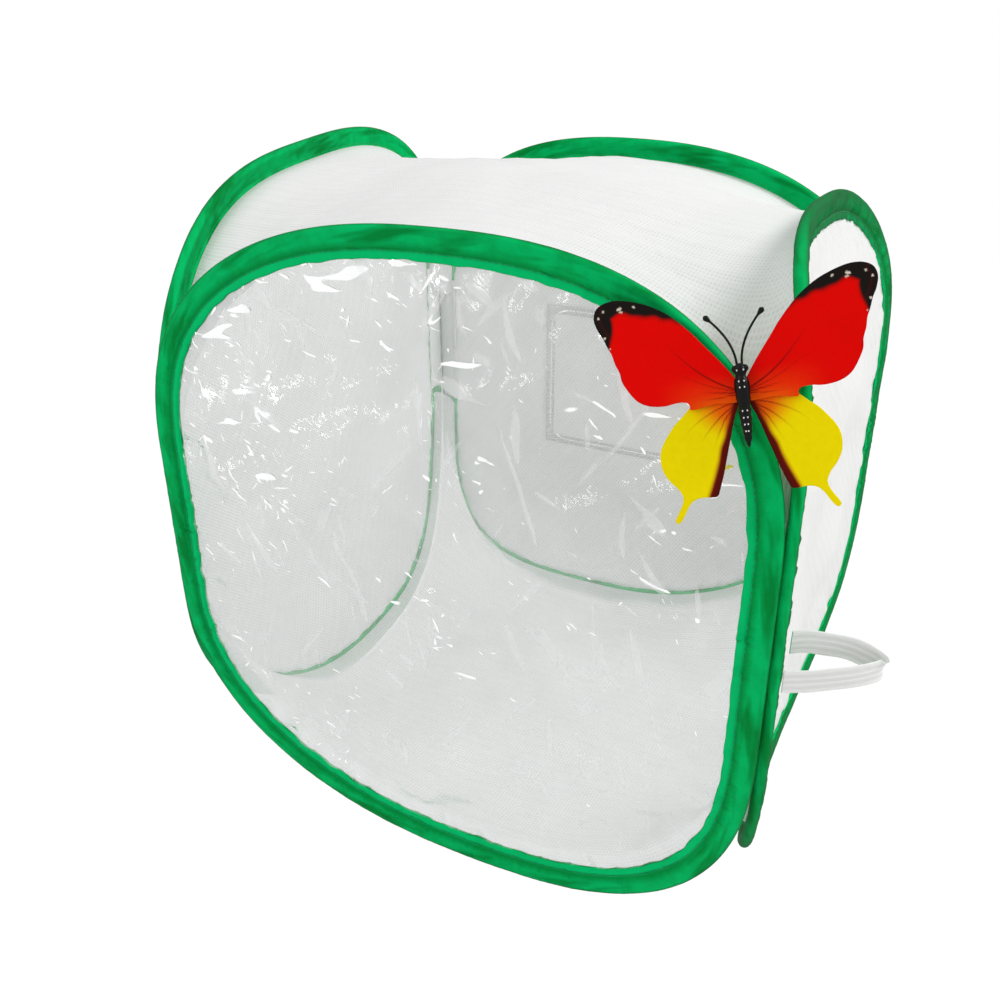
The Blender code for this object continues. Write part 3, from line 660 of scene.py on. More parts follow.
def tapeSection():
    # depth towards the middle of the hoop, height above its cloth, and how much a pucker lifts that point
    tip, seam, tube = cage["bandReach"], tape["seam"], cage["tubeRadius"]
    high, dip = tape["stripHeight"], tape["dip"]
    section = [(tip, high * 0.35, 0.3), (tip - 0.0002, high * 0.9, 0.5), (tip - 0.0010, high * 1.02, 0.5),
               (tip - 0.0022, high, 0.4), (seam + 0.0005, high, 0.3), (seam + 0.00018, high - dip, 0.1),
               (seam - 0.00022, high - dip, 0.1), (seam - 0.0006, high * 1.08, 0.55),
               (seam - 0.0016, high * 1.42, 1.0), (seam - 0.0028, high * 1.80, 1.0),
               (seam - 0.0043, high * 2.12, 0.7), (0.0017, tube * 0.995, 0.35)]
    for turn in range(75, 286, 15):
        angle = math.radians(turn)
        section.append((tube * math.cos(angle), tube * math.sin(angle), 0.1))
    section += [(0.0017, -tube * 0.86, 0.2), (seam - 0.0043, -high * 1.55, 0.4),
                (seam - 0.0028, -high * 1.25, 0.5), (seam - 0.0012, -high * 1.02, 0.4),
                (seam - 0.00022, high * -0.8, 0.1), (seam + 0.00018, high * -0.8, 0.1),
                (seam + 0.0006, -high * 0.96, 0.3), (tip - 0.0010, -high * 0.96, 0.4),
                (tip - 0.0002, high * -0.85, 0.4), (tip, high * -0.35, 0.3)]
    return np.array(section)


def tapeRelief(hoop, seed):
    arc = hoop["arc"][:, None] / hoop["around"]
    circle = np.concatenate([np.cos(arc * 2 * math.pi), np.sin(arc * 2 * math.pi)], 1)
    circle *= hoop["around"] / (2 * math.pi)
    pucker = waves(circle, tape["puckerLength"], seed, 9)
    pucker = np.abs(pucker) ** 1.3 - 0.6
    swell = waves(circle, tape["slackLength"], seed + 1, 8)
    edge = waves(circle, 0.012, seed + 2, 10)
    seamShare = ease(1.15 - np.abs(hoop["flat"][:, 1]) / hoop["sewn"] * 0.8)
    return circle, pucker * (1 + 0.9 * seamShare), swell, edge


def dressTape(hoop, seed):
    section = tapeSection()
    circle, pucker, swell, edge = tapeRelief(hoop, seed)
    rows = []
    for index, (depth, height, lift) in enumerate(section):
        face = 1 if height >= 0 else -1
        own = waves(circle, 0.011, seed + 10 + index // 3, 6)
        grow = 1 + tape["slack"] * swell * (0.4 + lift) * 0.5
        high = height * grow + face * lift * (tape["pucker"] * pucker + 0.00012 * own)
        deep = depth + (edge * tape["raggedEdge"] if depth > tape["seam"] + 0.001 else 0)
        high = np.clip(high, -cage["tubeRadius"] * 1.06, cage["tubeRadius"] * 1.12)
        rows.append(ringOf(hoop, deep, high))
    rows = np.stack(rows)
    widths = runOf(section[:, :2])
    widths = np.append(widths, widths[-1] + 0.001)
    name = hoop["side"] + "Tape"
    piece = addPiece(name, wrapRows(name, rows, (widths, np.append(hoop["arc"], hoop["around"]))), tapeLook)
    roundOver(piece.data, 70)
    return piece


def dressStitches(hoop, seed):
    # one sunk capsule for each stitch, on both faces of the tape
    count = int(hoop["around"] / tape["stitchPitch"])
    rng = np.random.default_rng(seed + 5)
    radius = tape["stitchWidth"] / 2
    points, faces = [], []
    profile = ((-0.5, 0.35), (-0.36, 0.95), (0.0, 1.1), (0.36, 0.95), (0.5, 0.35))
    for face in (1, -1):
        line = ringOf(hoop, tape["seam"], (tape["stripHeight"] - tape["dip"]) * face)
        for number in range(count):
            stop = (number + 0.5 + rng.uniform(-0.08, 0.08)) / count * len(line)
            low, share = int(stop) % len(line), stop - int(stop)
            centre = line[low] * (1 - share) + line[(low + 1) % len(line)] * share
            inward, normal = hoop["inward"][low], hoop["normal"][low] * face
            tangent = hoop["tangents"][low] + inward * rng.uniform(-0.10, 0.10)
            first = len(points)
            for reach, girth in profile:
                middle = centre + tangent * reach * tape["stitchLength"]
                middle = middle + normal * radius * (0.35 - 2 * reach * reach)
                for turn in range(6):
                    angle = math.pi / 3 * turn
                    around = inward * math.cos(angle) + normal * math.sin(angle)
                    points.append(middle + around * radius * girth)
            faces += tubeFaces(first, len(profile) - 1, 6)
            faces.append(tuple(first + turn for turn in reversed(range(6))))
            faces.append(tuple(first + (len(profile) - 1) * 6 + turn for turn in range(6)))
    mesh = meshOf(hoop["side"] + "Stitches", points, faces)
    faceOutward(mesh)
    mesh.shade_smooth()
    return addPiece(hoop["side"] + "Stitches", mesh, threadLook)


tapeSeeds = {"front": 11, "right": 37, "back": 53, "left": 71}
tapes = {}
for side, hoop in hoops.items():
    tapes[side] = dressTape(hoop, tapeSeeds[side])
    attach(tapes[side], side)
    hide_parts(side + "_binding")
    stitches = dressStitches(hoop, tapeSeeds[side])
    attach(stitches, side)
print("tapes made")


# the walls: cloth in three hoops and clear film in the front one

wall = dict(clothWall=0.0004, filmWall=0.0003, hidden=0.0022, clothStep=0.0048, filmStep=0.0019)


def lipOf(hoop):
    # the edge of the cloth, just inside the tape, laid out beside the hoop's own plane
    lip = ringOf(hoop, cage["bandReach"] - wall["hidden"])
    local = lip - hoop["middle"]
    flat = np.stack([local @ hoop["along"], local[:, 2]], 1)
    away = local @ hoop["out"]
    true = ringOf(hoop, cage["bandReach"] + 0.0012) - hoop["middle"]
    centreAway = (true @ hoop["out"]).mean()
    centre = np.array([(true @ hoop["along"]).mean(), true[:, 2].mean()])
    return flat, away, centre, centreAway


def spreadCloth(hoop, step, seed, hole=None):
    # an even scatter of points inside the lip, joined by triangles
    flat, away, centre, centreAway = lipOf(hoop)
    edge = flat[::2]
    angles = np.arctan2(edge[:, 1] - centre[1], edge[:, 0] - centre[0])
    order = np.argsort(angles)
    angles = np.concatenate([angles[order] - 2 * math.pi, angles[order], angles[order] + 2 * math.pi])
    reach = np.tile(np.linalg.norm(edge - centre, axis=1)[order], 3)
    off = np.tile(away[::2][order], 3)
    grid = staggeredGrid(edge.min(0), edge.max(0), step)
    grid = grid + np.random.default_rng(seed).uniform(-0.12, 0.12, grid.shape) * step

    def shareAt(places):
        turn = np.arctan2(places[:, 1] - centre[1], places[:, 0] - centre[0])
        return np.linalg.norm(places - centre, axis=1) / np.interp(turn, angles, reach), turn

    keep = shareAt(grid)[0] < 1 - step * 0.55 / reach.mean()
    if hole is None:
        spots, faces = joinUp(edge, grid[keep])
    else:
        near = np.array([-0.5, 0.5, -0.5, 0.5]) * step
        keep &= ~insideHole(grid, np.array(hole) + near)
        spots, faces = joinUp(edge, grid[keep], holeRim(hole))
        faces = [face for face in faces if not insideHole(spots[list(face)].mean(0), hole)]
    share, turn = shareAt(spots)
    flatShare = hoop["shape"]["flat"]
    belly = (np.clip((share - flatShare) / (1 - flatShare), 0, None)) ** cage["bellyPower"]
    depth = centreAway + (np.interp(turn, angles, off) - centreAway) * belly
    return spots, share, turn, depth, faces


def holeRim(hole):
    left, right, floor, top = hole
    corners = np.array([(left, floor), (right, floor), (right, top), (left, top)])
    share = np.arange(14)[:, None] / 14
    pairs = zip(corners, np.roll(corners, -1, 0))
    return np.concatenate([start + (end - start) * share for start, end in pairs])


def insideHole(places, hole):
    left, right, floor, top = hole
    x, y = places.T
    return (x > left) & (x < right) & (y > floor) & (y < top)


def standUp(hoop, spots, depth):
    return (hoop["middle"] + np.outer(spots[:, 0], hoop["along"]) + np.outer(depth, hoop["out"])
            + np.outer(spots[:, 1], upward))


doorPlan = dict(width=0.106, height=0.094, corner=0.012, edge=0.0029, park=0.016, tapeWidth=0.008,
                meet=0.0001)


def makeWall(hoop, name, step, look, wallThickness, relief, seed, hole=None):
    spots, share, turn, depth, faces = spreadCloth(hoop, step, seed, hole)
    depth = depth + relief(spots, share, turn)
    mesh = meshOf(name, standUp(hoop, spots, depth), faces)
    layFlat(mesh, spots)
    piece = addPiece(name, mesh, look)
    thicken(piece, wallThickness)
    mesh.shade_smooth()
    return piece


def edgePuckers(share, turn, seed, size=0.0006):
    # short gathers that run in from the tape
    circle = np.stack([np.cos(turn), np.sin(turn)], 1) * 0.15
    fade = ease((share - 0.80) / 0.2) * (1 - ease((share - 0.97) / 0.03))
    return waves(circle, 0.016, seed, 10) * size * fade


def clothRelief(seed, size):
    def relief(spots, share, turn):
        soft = waves(spots, 0.075, seed, 8) * size
        crease = foldLines(spots, 0.06, seed + 9, 6) * size * 0.7
        inner = 1 - ease((share - 0.80) / 0.2)
        return (soft + crease) * inner + edgePuckers(share, turn, seed + 3)
    return relief


def backRelief(spots, share, turn):
    # the cloth lies flat where the zip is sewn
    plain = clothRelief(31, 0.0009)(spots, share, turn)
    return plain * ease((share - 0.60) / 0.15)


def filmRelief(spots, share, turn):
    inner = 1 - ease((share - 0.84) / 0.16)
    tilted = spots @ np.array([[0.9, -0.44], [0.44, 0.9]]) * (1, 1.9)
    wide = foldLines(tilted, 0.085, 301, 9) * 0.0016
    sharp = foldLines(tilted, 0.030, 351, 16) * 0.00075
    soft = waves(spots, 0.11, 21, 8) * 0.0012
    return (wide + sharp + soft) * inner + edgePuckers(share, turn, 23, 0.0007)


backCentre, backAway = lipOf(hoops["back"])[2:]
halfDoor = doorPlan["height"] / 2
doorLeft, edgeOff = -doorPlan["width"] / 2, doorPlan["edge"]
doorHole = (backCentre[0] + doorLeft, backCentre[0] + doorPlan["width"] / 2 + edgeOff,
            backCentre[1] - halfDoor - edgeOff, backCentre[1] + halfDoor + edgeOff)

seam = dict(above=0.014, past=0.0012, clear=0.0006, wall=0.0004, ragged=0.0005, stitchPitch=0.0024,
            thread=0.00019)


def coverSeam(hoop, seed, look, stitchDepths):
    # along each corner the cloth's turned edge lies over the tape's inner face, with a zigzag of white yarn
    high, tube, tip, side = tape["stripHeight"], cage["tubeRadius"], cage["bandReach"], hoop["side"]
    circle = tapeRelief(hoop, seed)[0]
    ragged = waves(circle, 0.006, seed + 7, 9) * seam["ragged"]
    lift = waves(circle, 0.02, seed + 8, 8) * 0.00015 - seam["clear"]
    section = [(tip + seam["past"], -high * 0.55), (tip - 0.0003, -high), (tape["seam"], -high),
               (tape["seam"] - 0.0028, -high * 1.25), (tape["seam"] - 0.0043, -high * 1.55),
               (0.0019, -tube * 0.86), (0.0, -tube * 1.02)]
    widths = runOf(np.array(section))
    pieces = []
    for label, hand in (("Near", 1), ("Far", -1)):
        run = np.arange(len(circle))
        if hand < 0:
            run = np.roll(run, len(circle) // 2)
        across, rise = hoop["flat"][run].T
        run = run[(across * hand > 0) & (rise < hoop["sewn"] + seam["above"]) & (rise > -hoop["sewn"])]
        rows = [ringOf(hoop, depth + (ragged if index == 0 else 0), height + lift)[run]
                for index, (depth, height) in enumerate(section)]
        lengths = np.arange(len(run) + 1) * hoop["around"] / len(circle)
        mesh = wrapRows(side + "Seam" + label, np.stack(rows), (widths, lengths), False, False)
        strip = addPiece(side + "Seam" + label, mesh, look)
        thicken(strip, seam["wall"])
        strip.data.shade_smooth()
        count = int(lengths[-1] / seam["stitchPitch"]) * 2
        uneven = np.random.default_rng(seed + 9).uniform(0.1, 0.7, count)
        places = (np.arange(count) + uneven) / count * len(run)
        lines = [ringOf(hoop, depth, -high * 1.3 - seam["clear"] - 0.0003)[run] for depth in stitchDepths]
        route = [lines[number % 2][min(int(place), len(run) - 1)] for number, place in enumerate(places)]
        yarn = addThread(side + "Yarn" + label, route, seam["thread"], fringeLook, caps=False)
        pieces += [strip, yarn]
    for piece in pieces:
        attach(piece, side)
    return pieces


window = makeWall(hoops["front"], "windowFilm", wall["filmStep"], filmLook, wall["filmWall"], filmRelief, 3)
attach(window, "front")
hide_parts("front_window")

tipStitches = (cage["bandReach"] + 0.0008, cage["bandReach"] - 0.0016)
for side, size, seed, look, cover, depths in (("left", 0.0011, 5, wallCloth, wallCloth, (0.0042, 0.0012)),
                                              ("right", 0.0009, 7, rightWallCloth, seamCloth, tipStitches)):
    cloth = makeWall(hoops[side], side + "Cloth", wall["clothStep"], look, wall["clothWall"],
                     clothRelief(seed, size), seed)
    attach(cloth, side)
    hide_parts(side + "_mesh_panel")
    coverSeam(hoops[side], seed, cover, depths)

backCloth = makeWall(hoops["back"], "backCloth", wall["clothStep"], backWallCloth, wall["clothWall"],
                     backRelief, 9, hole=doorHole)
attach(backCloth, "back")
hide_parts("back_mesh_panel")
coverSeam(hoops["back"], 9, seamCloth, tipStitches)
print("walls made")


# the top and the floor

deck = dict(steps=72, rounds=4200, sag=0.00101, dome=0.00038, seamDepth=0.0020, drop=0.00150, ground=0.0003,
            bend=0.018)


def arcOf(hoop, top):
    stops = np.arange(len(hoop["points"]))
    if top:
        return stops[hoop["flat"][:, 1] >= hoop["sewn"]]
    shifted = np.roll(stops, len(stops) // 2)
    return shifted[hoop["flat"][shifted, 1] <= -hoop["sewn"]]


def evenSteps(line, count):
    return pointsAt(line, np.linspace(0, runOf(line)[-1], count))


def deckGrid(top):
    edges = {}
    for side, hoop in hoops.items():
        line = ringOf(hoop, cage["bandReach"] - deck["seamDepth"], -deck["drop"])[arcOf(hoop, top)]
        edges[side] = line[::-1] if top else line
    order = ("front", "right", "back", "left")
    corners = {}
    for index, side in enumerate(order):
        other = order[(index + 1) % 4]
        corners[side] = (edges[side][-1] + edges[other][0]) / 2
    for index, side in enumerate(order):
        before = corners[order[index - 1]]
        edges[side] = evenSteps(np.concatenate([[before], edges[side], [corners[side]]]), deck["steps"] + 1)
    steps = deck["steps"]
    grid = np.zeros((steps + 1, steps + 1, 3))
    grid[:, 0] = edges["front"]
    grid[-1, :] = edges["right"]
    grid[:, -1] = edges["back"][::-1]
    grid[0, :] = edges["left"][::-1]
    share = np.linspace(0, 1, steps + 1)
    for index in range(1, steps):
        grid[1:-1, index] = (grid[0, index] * (1 - share)[1:-1, None] + grid[-1, index] * share[1:-1, None])
    sag = (-deck["dome"] if top else deck["sag"]) * (16 / steps) ** 2
    for turn in range(deck["rounds"]):
        mean = (grid[:-2, 1:-1] + grid[2:, 1:-1] + grid[1:-1, :-2] + grid[1:-1, 2:]) / 4
        mean[:, :, 2] = np.maximum(mean[:, :, 2] - sag, deck["ground"])
        grid[1:-1, 1:-1] = mean
    return grid


def deckHalf(name, grid, inFront, hemmed):
    # the cloth on one side of the diagonal from the front right corner to the back left one
    count = grid.shape[0]
    faces = []
    for column in range(count - 1):
        for row in range(count - 1):
            start = column * count + row
            beyond = column + row - (count - 2)
            if beyond == 0 and inFront:
                faces.append((start, start + count, start + 1))
            elif beyond == 0:
                faces.append((start + count, start + count + 1, start + 1))
            elif (beyond < 0) == inFront:
                faces.append((start, start + count, start + count + 1, start + 1))
    used = sorted({corner for face in faces for corner in face})
    place = {corner: index for index, corner in enumerate(used)}
    points = grid.reshape(-1, 3)[used]
    mesh = meshOf(name, points, [tuple(place[corner] for corner in face) for face in faces])
    layFlat(mesh, points)
    if hemmed:
        hem = 1 - ease((borderShare(count).ravel()[used] - 0.07) / 0.07)
        mesh.attributes.new("hem", "FLOAT", "POINT").data.foreach_set("value", hem.astype(np.float32))
    return mesh


def borderShare(count):
    step = np.linspace(0, 1, count)
    near = np.minimum(step, 1 - step)
    return np.minimum(near[:, None], near[None, :]) * 2


def makeDeck(name, top, look, relief, node):
    # two halves, one on each side of the diagonal from the front right corner to the back left one
    grid = deckGrid(top)
    flat = grid.reshape(-1, 3)
    inner = ease(borderShare(grid.shape[0]) * 9).ravel()
    flat[:, 2] += relief(flat[:, :2]) * inner
    if not top:
        flat[:, 2] = np.maximum(flat[:, 2], deck["ground"])
    halves = (("Front", True, "front", "left", pins["frontLeft"], ("frontTape", "leftTape")),
              ("Back", False, "right", "back", pins["backRight"], ("rightTape", "backTape")))
    for label, inFront, first, second, corner, rests in halves:
        mesh = deckHalf(name + label, grid, inFront, not top)
        piece = addPiece(name + label, mesh, look)
        thicken(piece, wall["clothWall"])
        applyAll(piece)
        roundOver(piece.data, 60)
        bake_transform(piece)
        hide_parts(node)


def topRelief(places):
    ripple = waves(places @ np.diag([0.35, 1.0]), 0.012, 401, 8) * 0.00025
    crease = foldLines(places @ np.diag([1.0, 0.6]), 0.12, 405, 5) * 0.0016
    return ripple + crease + waves(places, 0.09, 407, 8) * 0.0007


def floorRelief(places):
    soft = waves(places, 0.06, 421, 9) * 0.0010
    crease = foldLines(places, 0.09, 425, 8) * 0.0016
    return np.abs(soft + crease)


makeDeck("topCloth", True, topCloth, topRelief, "top_mesh_panel")
makeDeck("floorCloth", False, floorCloth, floorRelief, "floor_panel")
print("top and floor made")


# the zipped door in the back wall

backHoop = hoops["back"]
doorOrigin = (backHoop["middle"] + backHoop["along"] * backCentre[0] + upward * backCentre[1]
              + backHoop["out"] * backAway)
zipLayer = 0.00025 + 0.0003 + 0.0003


def doorPoint(across, rise, off):
    return doorOrigin + backHoop["along"] * across + upward * rise + backHoop["out"] * off


def doorPath(offset, start, fine):
    right = doorPlan["width"] / 2 + offset
    high = doorPlan["height"] / 2 + offset
    corner = doorPlan["corner"] + offset
    path = [(start, high)]
    for step in range(9):
        turn = math.pi / 2 * (1 - step / 8)
        path.append((right - corner + corner * math.cos(turn), high - corner + corner * math.sin(turn)))
    path += [(across, -rise) for across, rise in reversed(path)]
    path = np.array(path)
    return evenSteps(path, int(runOf(path)[-1] / fine) + 1)


def stripAlong(name, inner, outer, start, body, node):
    # a woven tape that follows the door's three open sides
    near, far = doorPath(inner, start, 0.004), doorPath(outer, start, 0.004)
    count = min(len(near), len(far))
    shares = np.linspace(0, 1, count)
    near = near[(shares * (len(near) - 1)).astype(int)]
    far = far[(shares * (len(far) - 1)).astype(int)]
    wave = waves(np.linspace(0, 0.3, count)[:, None], 0.02, 61, 6) * 0.00005
    half = 0.00026
    section = ((0.0, -half), (0.06, half), (0.5, half * 1.15), (0.94, half), (1.0, -half))
    rows = []
    for share, off in section:
        line = near * (1 - share) + far * share
        rows.append(np.array([doorPoint(x, y, zipLayer + off + lift) for (x, y), lift in zip(line, wave)]))
    rows = np.stack(rows)
    widths = np.array([0, 0.06, 0.5, 0.94, 1.0, 1.2]) * doorPlan["tapeWidth"]
    lengths = np.arange(count) * 0.004
    piece = addPiece(name, wrapRows(name, rows, (widths, lengths), closeAlong=False, caps=True), zipTapeLook)
    roundOver(piece.data, 40)
    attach(piece, body)
    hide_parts(node)


def coilAlong(name, middle, start, body, node):
    # a row of moulded turns, one for each tooth
    pitch, wide, high, thick = 0.00115, 0.00085, 0.00068, 0.00017
    line = doorPath(middle, start + 0.0006, pitch / 6)
    along = unit(np.gradient(line, axis=0))
    side = np.stack([-along[:, 1], along[:, 0]], 1)
    route = []
    for (x, y), (sx, sy), turn in zip(line, side, np.arange(len(line)) / 6 * 2 * math.pi):
        route.append(doorPoint(x + sx * wide * math.cos(turn), y + sy * wide * math.cos(turn),
                               zipLayer + high * math.sin(turn)))
    piece = addThread(name, route, thick, coilLook)
    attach(piece, body)
    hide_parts(node)


parkEnd = doorLeft - doorPlan["park"]
stripAlong("zipFrameTape", doorPlan["meet"], edgeOff + doorPlan["tapeWidth"], parkEnd, "back",
           "zip_frame_tape")
stripAlong("zipDoorTape", -edgeOff - doorPlan["tapeWidth"], -doorPlan["meet"], doorLeft + 0.0015, "door",
           "zip_door_tape")
coilAlong("zipFrameCoil", 0.0016, parkEnd + 0.0003, "back", "zip_frame_coil")
coilAlong("zipDoorCoil", -0.0016, doorLeft + 0.0015, "door", "zip_door_coil")


def makeFlap():
    columns, rows = 26, 24
    left, right = doorLeft + 0.00015, doorPlan["width"] / 2 - edgeOff
    low, high = -halfDoor + edgeOff, halfDoor - edgeOff
    points, lie = [], []
    for column in range(columns + 1):
        for row in range(rows + 1):
            x = left + (right - left) * column / columns
            y = low + (high - low) * row / rows
            points.append(doorPoint(x, y, 0))
            lie.append((backCentre[0] + x, backCentre[1] + y))
    faces = []
    for column in range(columns):
        for row in range(rows):
            start = column * (rows + 1) + row
            faces.append((start, start + rows + 1, start + rows + 2, start + 1))
    mesh = meshOf("doorCloth", points, faces)
    layFlat(mesh, lie)
    piece = addPiece("doorCloth", mesh, backWallCloth)
    thicken(piece, wall["clothWall"])
    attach(piece, "door")
    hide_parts("door_mesh_flap")


makeFlap()
print("door made")


# the elastic loop in the front right seam
elastic = dict(width=0.0104, wall=0.0010, reach=0.0405, spacing=0.0095, bulge=0.0015, fullness=1.5,
               climb=0.0125, height=0.150, lift=0.0015, heading=33, steps=90, ribs=9)


def elasticPath():
    hoop = hoops["right"]
    far = np.abs(hoop["points"][:, 2] - elastic["height"]) + (hoop["flat"][:, 0] > 0)
    root = hoop["points"][far.argmin()] + hoop["out"] * (cage["tubeRadius"] + 0.0003 + elastic["wall"] / 2)
    root[2] = elastic["height"] + elastic["lift"]
    turn = math.radians(elastic["heading"])
    heading = np.array([math.cos(turn), math.sin(turn), 0])
    sideways = np.cross(upward, heading)
    share = np.linspace(0, 1, elastic["steps"] + 1)
    # the loop lies almost flat out to a soft fold, and only the strand behind climbs
    reach = elastic["reach"] * (1 - np.abs(2 * share - 1) ** elastic["fullness"])
    bulge = -elastic["bulge"] * np.sin(2 * math.pi * share)
    climb = elastic["climb"] * ease((share - 0.42) / 0.58)
    back = np.outer(ease(share) * elastic["spacing"], hoop["along"])
    return root + back + np.outer(climb, upward) + np.outer(reach, heading) + np.outer(bulge, sideways)


def makeElastic():
    path = elasticPath()
    steps = unit(np.gradient(path, axis=0))
    side = unit(np.cross(steps, upward))
    rise = np.cross(side, steps)
    half = elastic["width"] / 2
    count = elastic["ribs"] * 4
    section = []
    for index in range(count + 1):
        across = -half + elastic["width"] * index / count
        swell = 0.5 + 0.5 * math.cos(2 * math.pi * index / 4 + math.pi)
        section.append((across, elastic["wall"] / 2 * (0.62 + 0.38 * swell)))
    section = section + [(across, -thick) for across, thick in reversed(section)]
    arc = runOf(path)
    rows = []
    for across, thick in section:
        curl = waves(arc[:, None], 0.03, 81, 5) * 0.00025 * abs(across) / half
        rows.append(path + side * thick + rise * (across + curl[:, None]))
    widths = np.array([across for across, thick in section] + [-half])
    mesh = wrapRows("elasticLoop", np.stack(rows), (widths, arc), closeAlong=False, caps=True)
    piece = addPiece("elasticLoop", mesh, elasticLook)
    roundOver(mesh, 60)
    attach(piece, "front")
    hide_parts("elastic_loop")


makeElastic()
print("elastic made")


# the butterfly

butterfly = dict(origin=(0.13728, -0.14641, 0.26960), turn=13.3, lean=20.4, tilt=12.5, halfSpan=0.048,
                 hindLayer=0.00699, foreLayer=0.00779, bodyLayer=0.01114, length=0.0295, girth=0.0026,
                 waist=0.36, reach=0.017, splay=0.0092, antenna=0.00042)
turn, lean = math.radians(butterfly["turn"]), math.radians(butterfly["lean"])
across = Vector((math.cos(turn), math.sin(turn), 0))
facing = Vector((math.sin(turn) * math.cos(lean), -math.cos(turn) * math.cos(lean), math.sin(lean)))
perch = matrixOf(across, facing.cross(across), facing, Vector(butterfly["origin"]))
perchTurn = np.array(perch @ Matrix.Rotation(math.radians(butterfly["tilt"]), 4, "Z"))

foreOutline = [(0.02, 0.07), (0.05, 0.13), (0.11, 0.22), (0.17, 0.30), (0.24, 0.39), (0.30, 0.47),
               (0.37, 0.55), (0.45, 0.63), (0.53, 0.69), (0.62, 0.74), (0.73, 0.78), (0.83, 0.80),
               (0.92, 0.79), (0.98, 0.75), (1.00, 0.68), (0.98, 0.60), (0.95, 0.54), (0.925, 0.47),
               (0.90, 0.41), (0.885, 0.34), (0.86, 0.27), (0.85, 0.20), (0.81, 0.12), (0.76, 0.05),
               (0.70, 0.01), (0.63, -0.01), (0.55, -0.015),
               (0.48, -0.005), (0.41, -0.01), (0.385, -0.035), (0.37, -0.07), (0.20, -0.05), (0.03, -0.05)]
hindOutline = [(0.03, 0.03), (0.20, 0.00), (0.33, -0.02), (0.39, -0.055), (0.45, -0.11), (0.51, -0.16),
               (0.56, -0.22), (0.61, -0.29), (0.64, -0.36), (0.645, -0.44), (0.63, -0.51), (0.59, -0.58),
               (0.54, -0.64), (0.515, -0.70), (0.53, -0.76), (0.565, -0.82), (0.59, -0.865), (0.58, -0.89),
               (0.555, -0.885), (0.52, -0.84), (0.485, -0.78), (0.44, -0.735), (0.38, -0.72), (0.31, -0.725),
               (0.265, -0.72), (0.24, -0.67), (0.20, -0.56), (0.16, -0.43), (0.12, -0.30), (0.08, -0.17),
               (0.04, -0.07)]


def softLoop(corners, fineness):
    # a closed smooth line through the corners
    corners = np.array(corners)
    count = len(corners)
    line = []
    for index in range(count):
        before, here, after, later = (corners[(index + shift) % count] for shift in (-1, 0, 1, 2))
        for step in range(fineness):
            share = step / fineness
            line.append(0.5 * (2 * here + (after - before) * share
                               + (2 * before - 5 * here + 4 * after - later) * share ** 2
                               + (3 * here - before - 3 * after + later) * share ** 3))
    return np.array(line)


def insideLoop(points, loop):
    inside = np.zeros(len(points), dtype=bool)
    after = np.roll(loop, -1, 0)
    for (x1, y1), (x2, y2) in zip(loop, after):
        crosses = (points[:, 1] < y1) != (points[:, 1] < y2)
        where = x1 + (points[:, 1] - y1) / (y2 - y1 + 1e-12) * (x2 - x1)
        inside ^= crosses & (points[:, 0] < where)
    return inside


def gapTo(points, line):
    # how far each point is from an open line
    best = np.full(len(points), 9.0)
    for start, end in zip(line[:-1], line[1:]):
        reach = end - start
        share = np.clip((points - start) @ reach / max(reach @ reach, 1e-12), 0, 1)
        best = np.minimum(best, np.linalg.norm(points - start - share[:, None] * reach, axis=1))
    return best


def mixTo(colours, share, colour):
    share = np.clip(share, 0, 1)[:, None]
    return colours * (1 - share) + np.array(colour) * share


red, redRoot = (0.86, 0.0015, 0.0006), (0.94, 0.036, 0.002)
nearBlack, cream, darkRed = (0.010, 0.008, 0.007), (0.80, 0.72, 0.58), (0.25, 0.005, 0.003)
yellow, orange, maroon = (0.98, 0.80, 0.0), (0.95, 0.17, 0.002), (0.12, 0.005, 0.003)


def paintVein(colours, places, line, width, strength, colour):
    # a thin line that fades away from the body
    line = softLine(line)
    gap = gapTo(places, line)
    far = np.linalg.norm(places - line[0], axis=1) / np.linalg.norm(line[-1] - line[0])
    share = np.clip((width - gap) / width * 1.6, 0, 1) * strength * (1 - ease(far))
    return mixTo(colours, share, colour)


def softLine(corners):
    # an open smooth line through the corners
    closed = softLoop([corners[0]] + list(corners) + [corners[-1]], 6)
    return closed[6:6 * len(corners) + 1]


